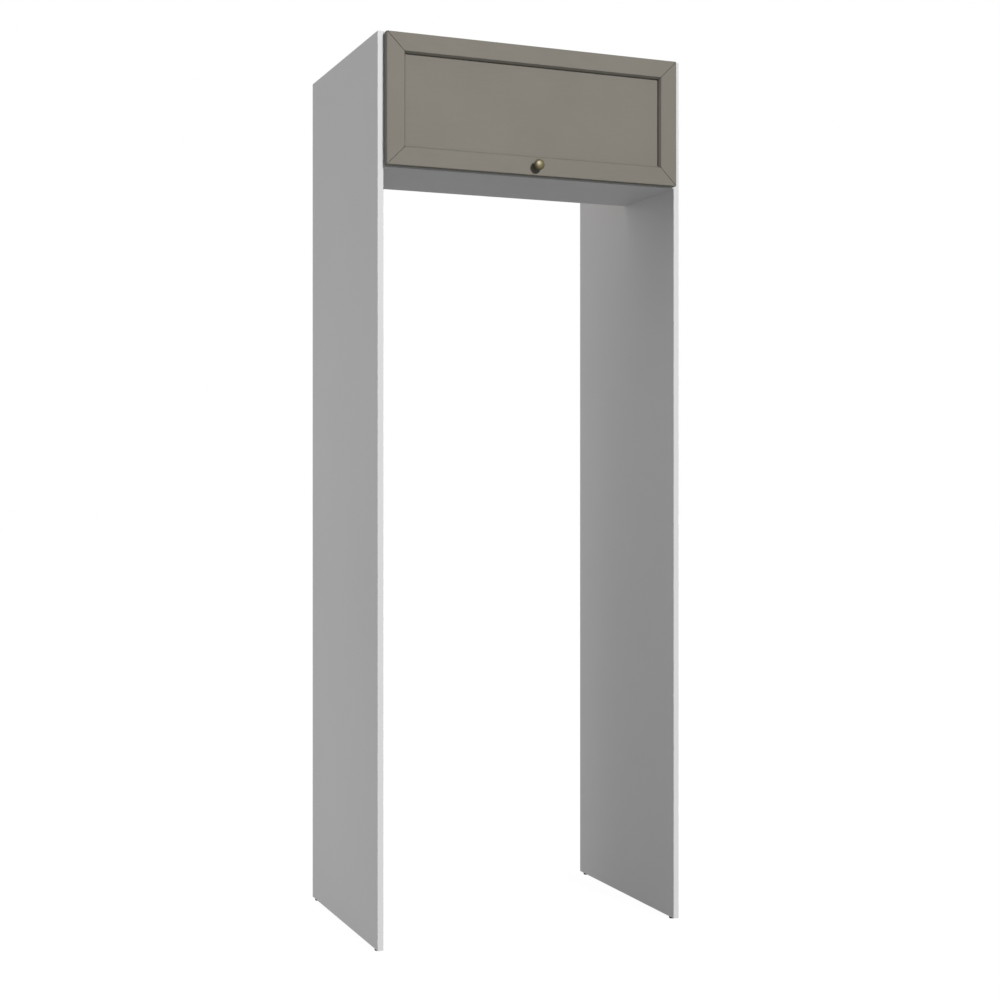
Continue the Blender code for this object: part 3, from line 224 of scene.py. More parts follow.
class FittingSettings(bpy.types.PropertyGroup):
    """Sizes and colours of the metal and plastic fittings."""

    nickel_colour: colour_property("Nickel", "Nickel plating on the hinges", "#C6C3BC")
    zinc_colour: colour_property("Zinc", "Blue-passivated zinc on screws and brackets", "#B4B8BD")
    chrome_colour: colour_property("Chrome", "Hard chrome on the rods", "#D6D8DA")
    tube_colour: colour_property("Tube", "Black lacquer on the strut tubes", "#1A1A1B")
    nylon_colour: colour_property("Nylon", "Glass-filled nylon sockets and bushes", "#232324")
    glide_colour: colour_property("Glide", "Polyethylene glides", "#1C1C1D")
    edge_radius: length_property("Edge radius", "Rounding left by the press tool", 0.0003)
    steps: steps_property("Facets round a turned fitting", 48)
    tube_wall: length_property("Tube wall", "Wall of the strut's tube", 0.0012)
    tube_floor: length_property("Tube floor", "Thickness of the tube's closed end", 0.002)
    bead_width: length_property("Bead width", "Width of the groove rolled near the mouth", 0.003)
    bead_depth: length_property("Bead depth", "Depth of the groove rolled near the mouth", 0.0006)
    head_diameter: length_property("Screw head", "Diameter of a bracket screw's head", 0.0075)
    head_height: length_property("Head height", "Height of a bracket screw's head", 0.0016)
    shank_diameter: length_property("Shank", "Diameter of a bracket screw", 0.0036)
    shank_length: length_property("Shank length", "Length of a bracket screw", 0.013)
    recess_width: length_property("Recess width", "Width of the cross recess's wings", 0.0009)


class StageSettings(bpy.types.PropertyGroup):
    """Camera, floor and light."""

    floor_colour: colour_property("Floor", "What the studio floor throws back", "#505050")
    floor_light: number_property("Floor light", "Even light from the floor", 0.16, min=0)
    floor_glow: number_property("Floor glow", "Brightness of the floor in the picture", 0.96, min=0)
    sky_front: number_property("Sky in front", "Even light from the front", 0.02, min=0)
    sky_rear: number_property("Sky behind", "Even light from behind", 0.69, min=0)
    backdrop: number_property("Backdrop", "Brightness behind the object", 1.0, min=0)
    key_power: number_property("Key power", "Softbox in front of the object", 15441, min=0)
    key_distance: length_property("Key distance", "From the object to the softbox", 45.0)
    key_size: length_property("Key size", "Side of the softbox", 8.1)
    fill_power: number_property("Fill power", "Low softbox at the object's left", 3.8, min=0)
    fill_size: length_property("Fill size", "Side of the low softbox", 0.8)
    fill_place: place_property("Fill", "Where the low softbox stands", (-1.95, 0.35, 0.25))
    key_azimuth: number_property(
        "Key azimuth",
        "Turn of the softbox from straight ahead towards the right",
        math.radians(13.5),
        subtype="ANGLE",
    )
    key_elevation: number_property(
        "Key elevation", "Height of the softbox as an angle", math.radians(22.7), subtype="ANGLE"
    )
    camera_place: place_property("Camera", "Where the camera stands", (-1.6634, -4.13555, 1.1374))
    camera_turn: number_property(
        "Camera turn",
        "Turn of the level camera from straight ahead towards the right",
        math.radians(22.123),
        subtype="ANGLE",
    )
    lens: number_property("Lens", "Focal length in millimetres", 59.67, subtype="DISTANCE_CAMERA")
    lens_shift: number_property("Lens shift", "Upward shift as a share of the frame", -0.01222)


class HousingSettings(bpy.types.PropertyGroup):
    """All settings of the housing unit."""

    boards: bpy.props.PointerProperty(type=BoardSettings)
    flap: bpy.props.PointerProperty(type=FlapSettings)
    knob: bpy.props.PointerProperty(type=KnobSettings)
    fittings: bpy.props.PointerProperty(type=FittingSettings)
    stage: bpy.props.PointerProperty(type=StageSettings)


def settings():
    """The settings on the scene."""
    return bpy.context.scene.housing


def per_metre(size):
    """A texture scale that gives features of a size in metres."""
    return 1 / size


def new_object(name, data):
    """A new object in the scene."""
    made = bpy.data.objects.new(name, data)
    bpy.context.scene.collection.objects.link(made)
    return made


def mesh_object(name, bm):
    """A new object in the scene, with a bmesh as its mesh."""
    mesh = bpy.data.meshes.new(name)
    bm.to_mesh(mesh)
    bm.free()
    return new_object(name, mesh)


# Surfaces. Each function below builds a material's nodes and returns the inputs of its shader.

# The Mix node's inputs for colours, by their places.
FACTOR, FIRST, SECOND = 0, 6, 7


def empty_tree(owner):
    """The node tree of a new material or world, emptied."""
    owner.use_nodes = True
    owner.node_tree.nodes.clear()
    return owner.node_tree


def add(tree, kind, inputs=None, **properties):
    """Adds one node, sets its properties, and fills its inputs or links them to what feeds them."""
    node = tree.nodes.new("ShaderNode" + kind)
    for name, value in properties.items():
        setattr(node, name, value)
    for name, value in (inputs or {}).items():
        if isinstance(value, bpy.types.Node):
            value = next(socket for socket in value.outputs if socket.enabled)
        if isinstance(value, bpy.types.NodeSocket):
            tree.links.new(value, node.inputs[name])
        else:
            node.inputs[name].default_value = value
    return node


def surface(build, *details, name=None):
    """The material that a function builds, made the first time it is asked for."""
    name = name or build.__name__
    found = bpy.data.materials.get(name)
    if found:
        return found
    material = bpy.data.materials.new(name)
    tree = empty_tree(material)
    inputs = build(tree, add(tree, "TexCoord").outputs, *details)
    add(tree, "OutputMaterial", {"Surface": add(tree, "BsdfPrincipled", inputs)})
    return material


def facing_mask(tree, normal, directions):
    """One where a surface faces any of some directions, and nothing elsewhere."""
    mask = None
    for direction in directions:
        along = add(tree, "VectorMath", {0: normal, 1: direction}, operation="DOT_PRODUCT")
        this = add(tree, "Math", {0: along, 1: SQUARE_ON}, operation="GREATER_THAN")
        mask = add(tree, "Math", {0: mask, 1: this}, operation="MAXIMUM") if mask else this
    return mask


def melamine_board(tree, at, face_axis, bare_directions):
    """Melamine-faced chipboard with plastic edge bands, and bare edges where none shows."""
    # Resin-soaked paper pressed on chipboard: an even, cool white with a fine pebble and a soft
    # sheen. The real pebble is under a millimetre wide. It is drawn a little coarser, so that it
    # shows.
    boards = settings().boards
    place, normal = at["Object"], at["Normal"]
    tone = add(tree, "TexNoise", {"Vector": place, "Scale": per_metre(300 * MM), "Detail": 2.0})
    paper = add(
        tree, "Mix", {FACTOR: tone, FIRST: boards.face_colour, SECOND: boards.shade_colour},
        data_type="RGBA",
    )
    faces = facing_mask(tree, normal, (face_axis, -face_axis))
    banded = add(
        tree, "Mix", {FACTOR: faces, FIRST: boards.band_colour, SECOND: paper}, data_type="RGBA"
    )
    flat_chip = [per_metre(boards.chip * (CHIP_THINNESS if share else 1)) for share in face_axis]
    lying = add(tree, "Mapping", {"Vector": place, "Scale": flat_chip})
    chips = add(tree, "TexVoronoi", {"Vector": lying, "Scale": 1.0}).outputs["Color"]
    speck_size = boards.chip / CHIP_SPECKS
    speck = add(
        tree, "TexNoise", {"Vector": place, "Scale": per_metre(speck_size), "Detail": 3.0}
    )
    chip_tone = add(tree, "Math", {0: chips, 1: speck}, operation="MULTIPLY")
    wood = add(
        tree, "Mix", {FACTOR: chip_tone, FIRST: boards.chip_colour, SECOND: boards.core_colour},
        data_type="RGBA",
    )
    bare = facing_mask(tree, normal, bare_directions)
    colour = add(tree, "Mix", {FACTOR: bare, FIRST: banded, SECOND: wood}, data_type="RGBA")
    pebble = add(
        tree, "TexNoise", {"Vector": place, "Scale": per_metre(boards.pebble), "Detail": 3.0}
    )
    sheen = add(tree, "MapRange", {"Value": pebble, "To Min": 0.36, "To Max": 0.50})
    gloss = add(tree, "Math", {0: bare, 1: BARE_DULLNESS, 2: sheen}, operation="MULTIPLY_ADD")
    relief = add(tree, "Math", {0: bare, 1: chip_tone, 2: pebble}, operation="MULTIPLY_ADD")
    bump = add(tree, "Bump", {"Height": relief, "Strength": 0.12, "Distance": 0.2 * MM})
    return {"Base Color": colour, "Roughness": gloss, "Normal": bump, "Specular IOR Level": 0.3}


def screen_backed_hardboard(tree, at):
    """Thin hardboard, painted white inside and bare behind."""
    # Wet-pressed fibreboard: a dull white face, and a brown back that carries the press screen's
    # mesh. The real screen is finer. It is drawn a little coarser, so that it shows.
    boards = settings().boards
    place = at["Object"]
    behind = facing_mask(tree, at["Normal"], (BACK,))
    fibre = add(
        tree, "TexNoise",
        {"Vector": place, "Scale": per_metre(12 * MM), "Detail": 8.0, "Roughness": 0.75},
    )
    spread = add(tree, "MapRange", {"Value": fibre, "From Min": 0.35, "From Max": 0.65})
    brown = add(
        tree, "Mix", {FACTOR: spread, FIRST: boards.fibre_colour, SECOND: boards.core_colour},
        data_type="RGBA",
    )
    paint = add(
        tree, "Mix", {FACTOR: fibre, FIRST: boards.shade_colour, SECOND: boards.face_colour},
        data_type="RGBA",
    )
    colour = add(tree, "Mix", {FACTOR: behind, FIRST: paint, SECOND: brown}, data_type="RGBA")
    wires = {"Vector": place, "Scale": per_metre(boards.screen) * WAVE_LENGTH, "Distortion": 0.4}
    across = add(tree, "TexWave", wires, bands_direction="X").outputs["Fac"]
    upward = add(tree, "TexWave", wires, bands_direction="Z").outputs["Fac"]
    mesh = add(tree, "Math", {0: across, 1: upward}, operation="MULTIPLY")
    imprint = add(tree, "Math", {0: mesh, 1: behind, 2: fibre}, operation="MULTIPLY_ADD")
    bump = add(tree, "Bump", {"Height": imprint, "Strength": 0.6, "Distance": 0.4 * MM})
    dullness = add(tree, "MapRange", {"Value": behind, "To Min": 0.55, "To Max": 0.85})
    return {"Base Color": colour, "Roughness": dullness, "Normal": bump}


def satin_lacquer(tree, at, grain_axis):
    """Pigmented satin lacquer, sprayed on wood."""
    # Polyurethane lacquer: one grey with a silky, slightly warm sheen. The wood below telegraphs
    # very faintly.
    flap = settings().flap
    place = at["Object"]
    stretch = [per_metre(flap.grain_length if share else flap.grain_width) for share in grain_axis]
    drawn = add(tree, "Mapping", {"Vector": place, "Scale": stretch})
    grain = add(tree, "TexNoise", {"Vector": drawn, "Scale": 1.0, "Detail": 4.0})
    cloud = add(tree, "TexNoise", {"Vector": place, "Scale": per_metre(160 * MM), "Detail": 3.0})
    both = add(tree, "Math", {0: grain, 1: HALF, 2: cloud}, operation="MULTIPLY_ADD")
    spread = add(tree, "MapRange", {"Value": both, "From Min": 0.4, "From Max": 1.1})
    colour = add(
        tree, "Mix", {FACTOR: spread, FIRST: flap.lacquer_colour, SECOND: flap.second_colour},
        data_type="RGBA",
    )
    sheen = add(tree, "MapRange", {"Value": grain, "To Min": 0.50, "To Max": 0.66})
    peel = add(tree, "TexNoise", {"Vector": place, "Scale": per_metre(3 * MM), "Detail": 1.0})
    relief = add(tree, "Math", {0: grain, 1: peel}, operation="ADD")
    bump = add(tree, "Bump", {"Height": relief, "Strength": 0.10, "Distance": 0.15 * MM})
    tint = flap.gloss_colour
    return {"Base Color": colour, "Roughness": sheen, "Normal": bump, "Specular Tint": tint}


def patinated_brass(tree, at, centre, radius):
    """Turned brass with a rubbed patina and some painted light and shade, under clear lacquer."""
    # Antiqued brass: a dull olive oxide in patches and in the hollow below the rim. The rim is
    # darker, partly from oxide and partly as painted shade, and the dome's middle is paler, partly
    # as metal rubbed back and partly as a painted highlight. The clear lacquer over it gives the
    # dome its one pale, satin highlight.
    knob = settings().knob
    centred = add(tree, "Mapping", {"Vector": at["Object"], "Location": -centre})
    place = add(tree, "SeparateXYZ", {"Vector": centred}).outputs
    flat = add(tree, "CombineXYZ", {"X": place["X"], "Z": place["Z"]})
    reach = add(tree, "VectorMath", {0: flat}, operation="LENGTH")
    # Darker towards the rim: partly oxide, partly painted shade. The dome's middle stays pale,
    # partly as a painted highlight.
    rim_oxide_and_shade = add(
        tree, "MapRange", {"Value": reach, "From Min": radius * DOME_RUBBED_AND_HIGHLIT, "From Max": radius},
        interpolation_type="SMOOTHSTEP",
    )
    fade = radius * SIDE_FADE
    inward = add(
        tree, "MapRange", {"Value": place["Y"], "From Min": -fade, "From Max": fade},
        interpolation_type="SMOOTHSTEP",
    )
    cover = add(tree, "Math", {0: rim_oxide_and_shade, 1: inward}, operation="MAXIMUM")
    mottle = add(
        tree, "TexNoise",
        {"Vector": at["Object"], "Scale": per_metre(2.2 * MM), "Detail": 5.0, "Roughness": 0.65},
    )
    patchy = add(
        tree, "Math", {0: mottle, 1: MOTTLE_CONTRAST, 2: MOTTLE_SHIFT},
        operation="MULTIPLY_ADD", use_clamp=True,
    )
    # One mask for the patina's patches, the patina in the hollow below the rim, and the painted
    # shade at the rim.
    patina_and_painted_shade = add(
        tree, "Math", {0: cover, 1: RIM_PATINA_AND_SHADE, 2: patchy},
        operation="MULTIPLY_ADD", use_clamp=True,
    )
    colour = add(
        tree, "Mix", {FACTOR: patina_and_painted_shade, FIRST: knob.brass_and_highlight_colour, SECOND: knob.patina_and_shade_colour},
        data_type="RGBA",
    )
    dullness = add(tree, "MapRange", {"Value": patina_and_painted_shade, "To Min": 0.44, "To Max": 0.60})
    bare_metal = add(tree, "MapRange", {"Value": patina_and_painted_shade, "To Min": 1.0, "To Max": 0.2})
    turning = add(
        tree, "Math", {0: reach, 1: FULL_TURN * per_metre(TURNING_SPACING)}, operation="MULTIPLY"
    )
    rings = add(tree, "Math", {0: turning}, operation="SINE")
    relief = add(tree, "Math", {0: rings, 1: TURNING_RELIEF, 2: mottle}, operation="MULTIPLY_ADD")
    bump = add(tree, "Bump", {"Height": relief, "Strength": 0.25, "Distance": 0.15 * MM})
    return {
        "Base Color": colour,
        "Metallic": bare_metal,
        "Roughness": dullness,
        "Normal": bump,
        "Coat Weight": 0.8,
        "Coat Roughness": 0.36,
    }


def clouded_skin(tree, at, colour, second, dullness, spot, detail, relief, metallic):
    """A thin skin whose tone, gloss and relief vary in small clouds."""
    cloud = add(
        tree, "TexNoise", {"Vector": at["Object"], "Scale": per_metre(spot), "Detail": detail}
    )
    tone = add(
        tree, "Mix", {FACTOR: cloud, FIRST: colour, SECOND: linear(second)}, data_type="RGBA"
    )
    low, high = dullness
    rough = add(
        tree, "MapRange",
        {"Value": cloud, "From Min": 0.3, "From Max": 0.7, "To Min": low, "To Max": high},
    )
    bump = add(tree, "Bump", {"Height": cloud, "Strength": relief, "Distance": 0.1 * MM})
    return {"Base Color": tone, "Metallic": metallic, "Roughness": rough, "Normal": bump}


def nickel_plate(tree, at):
    """Nickel-plated stamped steel."""
    # Bright nickel over rolled sheet: a warm, slightly yellow silver with soft, cloudy reflections.
    return clouded_skin(
        tree, at, settings().fittings.nickel_colour, "#BAB7AF",
        dullness=(0.25, 0.32), spot=7 * MM, detail=3.0, relief=0.03, metallic=1.0,
    )


def zinc_plate(tree, at):
    """Zinc-plated steel with a blue passivation."""
    # Barrel-plated zinc: a cool grey with a bluish cast, duller and blotchier than nickel.
    return clouded_skin(
        tree, at, settings().fittings.zinc_colour, "#98A0AA",
        dullness=(0.36, 0.50), spot=3 * MM, detail=3.0, relief=0.03, metallic=1.0,
    )


def hard_chrome(tree, at):
    """Ground and hard-chromed steel."""
    # Ground rod under chrome: a cold mirror that only the finest haze softens.
    return clouded_skin(
        tree, at, settings().fittings.chrome_colour, "#C9CCD0",
        dullness=(0.06, 0.12), spot=9 * MM, detail=3.0, relief=0.03, metallic=1.0,
    )


def black_lacquer(tree, at):
    """Black stoving lacquer on drawn steel tube."""
    # Stoved black lacquer: deep and fairly glossy, with a slight orange peel.
    return clouded_skin(
        tree, at, settings().fittings.tube_colour, "#1E1E1F",
        dullness=(0.24, 0.29), spot=1.6 * MM, detail=4.0, relief=0.03, metallic=0.0,
    )


def filled_nylon(tree, at):
    """Injection-moulded nylon with glass fibre."""
    # Glass-filled nylon: a greyish black with the dull, slightly cloudy skin that the fibres leave.
    return clouded_skin(
        tree, at, settings().fittings.nylon_colour, "#303032",
        dullness=(0.46, 0.62), spot=1.2 * MM, detail=4.0, relief=0.15, metallic=0.0,
    )


def polyethylene(tree, at):
    """Moulded polyethylene."""
    # Polyethylene: a waxy black that scuffs to grey.
    return clouded_skin(
        tree, at, settings().fittings.glide_colour, "#2C2C2C",
        dullness=(0.38, 0.55), spot=2 * MM, detail=4.0, relief=0.2, metallic=0.0,
    )


def clear_polyurethane(tree, at):
    """Clear polyurethane elastomer."""
    # Cast polyurethane: a clear, faintly milky drop.
    haze = add(tree, "TexNoise", {"Vector": at["Object"], "Scale": per_metre(1.5 * MM)})
    gloss = add(tree, "MapRange", {"Value": haze, "To Min": 0.12, "To Max": 0.24})
    colour = settings().flap.bumper_colour
    return {"Base Color": colour, "Roughness": gloss, "Transmission Weight": 0.7, "IOR": 1.5}


# Shapes

# A turned solid's heights at its bottom, rim and top, and its radii at its widest and its bottom.
Turned = namedtuple("Turned", "bottom rim top widest foot")


def finish_piece(name, bm, material, body, nodes=()):
    """Makes a bmesh a finished piece that rides on a body and stands for its solids."""
    for edge in bm.edges:
        edge.smooth = edge.calc_face_angle(0) < HARD_ANGLE
    piece = mesh_object(name, bm)
    piece.data.materials.append(material)
    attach(piece, body)
    if nodes:
        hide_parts(*nodes)


def replace_solid(node, making, bm, material):
    """Makes a bmesh the piece that stands for one solid, named for how it was made."""
    body = frame["nodes"][node]["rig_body"]
    finish_piece("%s_%s" % (node, making), bm, material, body, (node,))


def dress_solid(node, material):
    """Gives a solid that stays its real surface."""
    for slot in frame["nodes"][node].material_slots:
        slot.material = material


def middle_of(node):
    """The middle of a solid's box."""
    low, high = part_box(node)
    return (low + high) / 2


def seen_along(node, origin, direction):
    """A solid's points, each as its height along a line and its radius from it."""
    seen = []
    for vertex in frame["nodes"][node].data.vertices:
        height = (vertex.co - origin).dot(direction)
        seen.append((height, (vertex.co - origin - direction * height).length))
    return seen


def measured(seen):
    """The heights and radii of a turned solid whose points are seen along its axis."""
    bottom = min(height for height, radius in seen)
    widest = max(radius for height, radius in seen)
    return Turned(
        bottom=bottom,
        rim=min(height for height, radius in seen if radius > RIM_SHARE * widest + WELD),
        top=max(height for height, radius in seen),
        widest=widest,
        foot=max(radius for height, radius in seen if height < bottom + WELD),
    )


def arc(centre, radii, start, end, steps):
    """Points of an elliptical arc, both ends included."""
    turns = [start + (end - start) * step / steps for step in range(steps + 1)]
    return [
        (centre[0] + radii[0] * math.cos(turn), centre[1] + radii[1] * math.sin(turn))
        for turn in turns
    ]


def spun(profile, steps):
    """A profile of radius and height points, spun round Z."""
    bm = bmesh.new()
    corners = [bm.verts.new((radius, 0, height)) for radius, height in profile]
    edges = [bm.edges.new(pair) for pair in zip(corners, corners[1:])]
    bmesh.ops.spin(
        bm, geom=corners + edges, cent=(0, 0, 0), axis=UP,
        angle=FULL_TURN, steps=steps, use_merge=True,
    )
    bmesh.ops.remove_doubles(bm, verts=bm.verts, dist=WELD)
    bmesh.ops.recalc_face_normals(bm, faces=bm.faces)
    for face in bm.faces:
        face.smooth = True
    return bm


def stand(bm, origin, direction):
    """Turns a bmesh's Z axis along a direction and moves it to its place."""
    turn = direction.to_track_quat("Z", "Y").to_matrix().to_4x4()
    bmesh.ops.transform(bm, matrix=Matrix.Translation(origin) @ turn, verts=bm.verts)
    return bm


def is_curved(face):
    """Whether most of a face's outline runs on into its neighbours in a gentle turn."""
    gentle = sum(
        edge.calc_length()
        for edge in face.edges
        if FLAT_ANGLE < edge.calc_face_angle(0) < HARD_ANGLE
    )
    return gentle > face.calc_perimeter() * HALF


def soften_solid(node, radius, material, making="pressed"):
    """Replaces a solid with a copy with rounded edges. Flat faces stay flat beside them."""
    bm = bmesh.new()
    bm.from_mesh(frame["nodes"][node].data)
    bmesh.ops.remove_doubles(bm, verts=bm.verts, dist=WELD)
    bmesh.ops.dissolve_limit(bm, angle_limit=FLAT_ANGLE, verts=bm.verts, edges=bm.edges)
    for face in bm.faces:
        face.smooth = is_curved(face)
    hard = [edge for edge in bm.edges if edge.calc_face_angle(0) > HARD_ANGLE]
    rounded = bmesh.ops.bevel(
        bm, geom=hard, offset=radius, offset_type="OFFSET", affect="EDGES",
        segments=2, profile=0.5, material=-1, clamp_overlap=True,
    )
    for face in rounded["faces"]:
        face.smooth = True
    replace_solid(node, making, bm, material)


def carved(bm, tools):
    """A bmesh less the shapes of some tools."""
    made = [mesh_object("carving", part) for part in (bm, *tools)]
    for tool in made[1:]:
        step = made[0].modifiers.new(tool.name, "BOOLEAN")
        step.operation = "DIFFERENCE"
        step.solver = "EXACT"
        step.object = tool
    result = bmesh.new()
    result.from_object(made[0], bpy.context.evaluated_depsgraph_get())
    # An object goes with its mesh.
    for obj in made:
        bpy.data.meshes.remove(obj.data)
    return result


def recess_wings(head_radius, top):
    """The two crossed, tapered wings of a driver's tip, standing in a screw's head."""
    span = head_radius * RECESS_SPAN
    depth = head_radius * RECESS_DEPTH
    wings = []
    for turn in (0, QUARTER_TURN):
        bm = bmesh.new()
        bmesh.ops.create_cube(bm, size=1)
        low = [corner for corner in bm.verts if corner.co.z < 0]
        bmesh.ops.scale(bm, vec=RECESS_TIP, verts=low)
        size = (span, settings().fittings.recess_width, 2 * depth)
        bmesh.ops.scale(bm, vec=size, verts=bm.verts)
        bmesh.ops.rotate(bm, matrix=Matrix.Rotation(turn, 3, "Z"), verts=bm.verts)
        bmesh.ops.translate(bm, vec=(0, 0, top), verts=bm.verts)
        wings.append(bm)
    return wings


def screw_shape(head_radius, head_height, shank_radius, length, sunk):
    """A cross-recessed screw, point down. Its head seats at Z = 0, or is sunk below it."""
    point = min(2 * shank_radius, length / 2)
    if sunk:
        top = 0
        profile = [(0, 0), (head_radius, 0), (shank_radius, -head_height)]
    else:
        top = head_height
        edge = head_height * HEAD_EDGE
        dome = (head_radius, head_height - edge)
        profile = arc((0, edge), dome, QUARTER_TURN, 0, steps=6)
        profile += [(head_radius, edge / 2), (head_radius - edge / 4, 0), (shank_radius, 0)]
    profile += [(shank_radius, point - length), (shank_radius / 4, -length), (0, -length)]
    return carved(spun(profile, settings().fittings.steps // 2), recess_wings(head_radius, top))


def fit_screw(node, direction, material, sunk=False):
    """Replaces a screw's solid with a recessed screw. The direction runs from point to head."""
    middle = middle_of(node)
    seen = seen_along(node, middle, direction)
    whole = measured(seen)
    shank = measured([row for row in seen if row[0] < whole.rim - WELD])
    seat = whole.top if sunk else whole.rim
    head_height = whole.top - (shank.top if sunk else seat)
    bm = screw_shape(whole.widest, head_height, shank.widest, seat - whole.bottom, sunk)
    replace_solid(node, "driven", stand(bm, middle + direction * seat, direction), material)


def bracket_screw(name, seat, direction, body):
    """A screw that holds a bracket, with its head seated at a point."""
    fittings = settings().fittings
    bm = screw_shape(
        fittings.head_diameter / 2, fittings.head_height,
        fittings.shank_diameter / 2, fittings.shank_length, sunk=False,
    )
    finish_piece(name, stand(bm, seat, direction), surface(zinc_plate), body)


# Steps


class HOUSING_OT_face_boards(bpy.types.Operator):
    """Gives the side panels and the cupboard's boards their melamine faces and edge bands"""

    bl_idname = "housing.face_boards"
    bl_label = "Face the boards"

    def execute(self, context):
        tall = surface(melamine_board, RIGHT, (-UP,), name="melamine_side_panel")
        upright = surface(melamine_board, RIGHT, (BACK,), name="melamine_cupboard_side")
        level = surface(melamine_board, UP, (BACK, RIGHT, -RIGHT), name="melamine_cupboard_shelf")
        for side in SIDES:
            dress_solid(side + "_side_panel", tall)
            dress_solid("cupboard_%s_side" % side, upright)
        for name in ("cupboard_top", "cupboard_bottom"):
            dress_solid(name, level)
        dress_solid("cupboard_back", surface(screen_backed_hardboard))
        return {"FINISHED"}


class HOUSING_OT_lacquer_flap(bpy.types.Operator):
    """Lacquers the flap's rails, stiles and field, with the grain along each member"""

    bl_idname = "housing.lacquer_flap"
    bl_label = "Lacquer the flap"

    def execute(self, context):
        lying = surface(satin_lacquer, RIGHT, name="satin_lacquer_rail")
        standing = surface(satin_lacquer, UP, name="satin_lacquer_stile")
        for name in ("door_top_rail", "door_bottom_rail", "door_centre_panel"):
            dress_solid(name, lying)
        for side in SIDES:
            dress_solid("door_%s_stile" % side, standing)
        return {"FINISHED"}


class HOUSING_OT_turn_knob(bpy.types.Operator):
    """Turns the brass knob and fits its screw"""

    bl_idname = "housing.turn_knob"
    bl_label = "Turn the knob"

    def execute(self, context):
        knob = settings().knob
        low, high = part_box("knob")
        middle = middle_of("knob")
        radius = (high.x - low.x) / 2
        neck = knob.neck_diameter / 2
        foot = knob.foot_diameter / 2
        hole = knob.hole_diameter / 2
        edge = knob.foot_height / 4
        lip = knob.rim_height / 2
        rim_top = high.y - low.y - knob.dome_height
        rim_bottom = rim_top - knob.rim_height
        throat = rim_bottom - knob.undercut
        profile = arc((0, rim_top), (radius - lip, knob.dome_height), QUARTER_TURN, 0, steps=20)
        rim = (radius - lip, rim_top - lip)
        profile += arc(rim, (lip, lip), QUARTER_TURN, -QUARTER_TURN, steps=8)
        hollow = (radius - lip - neck, -knob.undercut)
        profile += arc((neck, rim_bottom), hollow, 0, QUARTER_TURN, steps=12)[1:]
        flare = (neck - foot + edge, knob.foot_height - throat)
        profile += arc((foot - edge, throat), flare, 0, QUARTER_TURN, steps=12)[1:]
        foot_edge = (foot - edge, knob.foot_height - edge)
        profile += arc(foot_edge, (edge, edge), QUARTER_TURN, 0, steps=4)[1:]
        profile += [(foot, 0), (hole, 0), (hole, knob.hole_depth), (0, knob.hole_depth)]
        bm = stand(spun(profile, knob.steps), Vector((middle.x, high.y, middle.z)), -BACK)
        replace_solid("knob", "turned", bm, surface(patinated_brass, middle, radius))
        fit_screw("knob_screw", BACK, surface(zinc_plate))
        return {"FINISHED"}


class HOUSING_OT_fit_hinges(bpy.types.Operator):
    """Fits both cup hinges: cups, pins, arms, mounting plates and their screws"""

    bl_idname = "housing.fit_hinges"
    bl_label = "Fit the hinges"

    def execute(self, context):
        nickel, zinc = surface(nickel_plate), surface(zinc_plate)
        for side in SIDES:
            hinge = side + "_hinge_"
            for name in ("cup", "arm", "plate"):
                soften_solid(hinge + name, settings().fittings.edge_radius, nickel)
            self.fit_pin(hinge + "pin", nickel)
            for hand in ("a", "b"):
                fit_screw(hinge + "cup_screw_" + hand, BACK, nickel)
                fit_screw(hinge + "plate_screw_" + hand, -UP, nickel, sunk=True)
            for name in ("adjusting", "clamping"):
                fit_screw("%s%s_screw" % (hinge, name), -UP, zinc)
        return {"FINISHED"}

    def fit_pin(self, node, material):
        """A ground pin with rounded ends."""
        low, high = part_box(node)
        middle = middle_of(node)
        radius = (high.z - low.z) / 2
        length = high.x - low.x
        edge = radius / 4
        profile = [(0, length)]
        profile += arc((radius - edge, length - edge), (edge, edge), QUARTER_TURN, 0, steps=4)
        profile += arc((radius - edge, edge), (edge, edge), 0, -QUARTER_TURN, steps=4)
        profile += [(0, 0)]
        bm = spun(profile, settings().fittings.steps // 2)
        stand(bm, Vector((low.x, middle.y, middle.z)), RIGHT)
        replace_solid(node, "ground", bm, material)


def joint_place(name):
    """Where a joint of the record turns."""
    return Vector(next(row["pos_m"] for row in frame["joints"] if row["name"] == name))


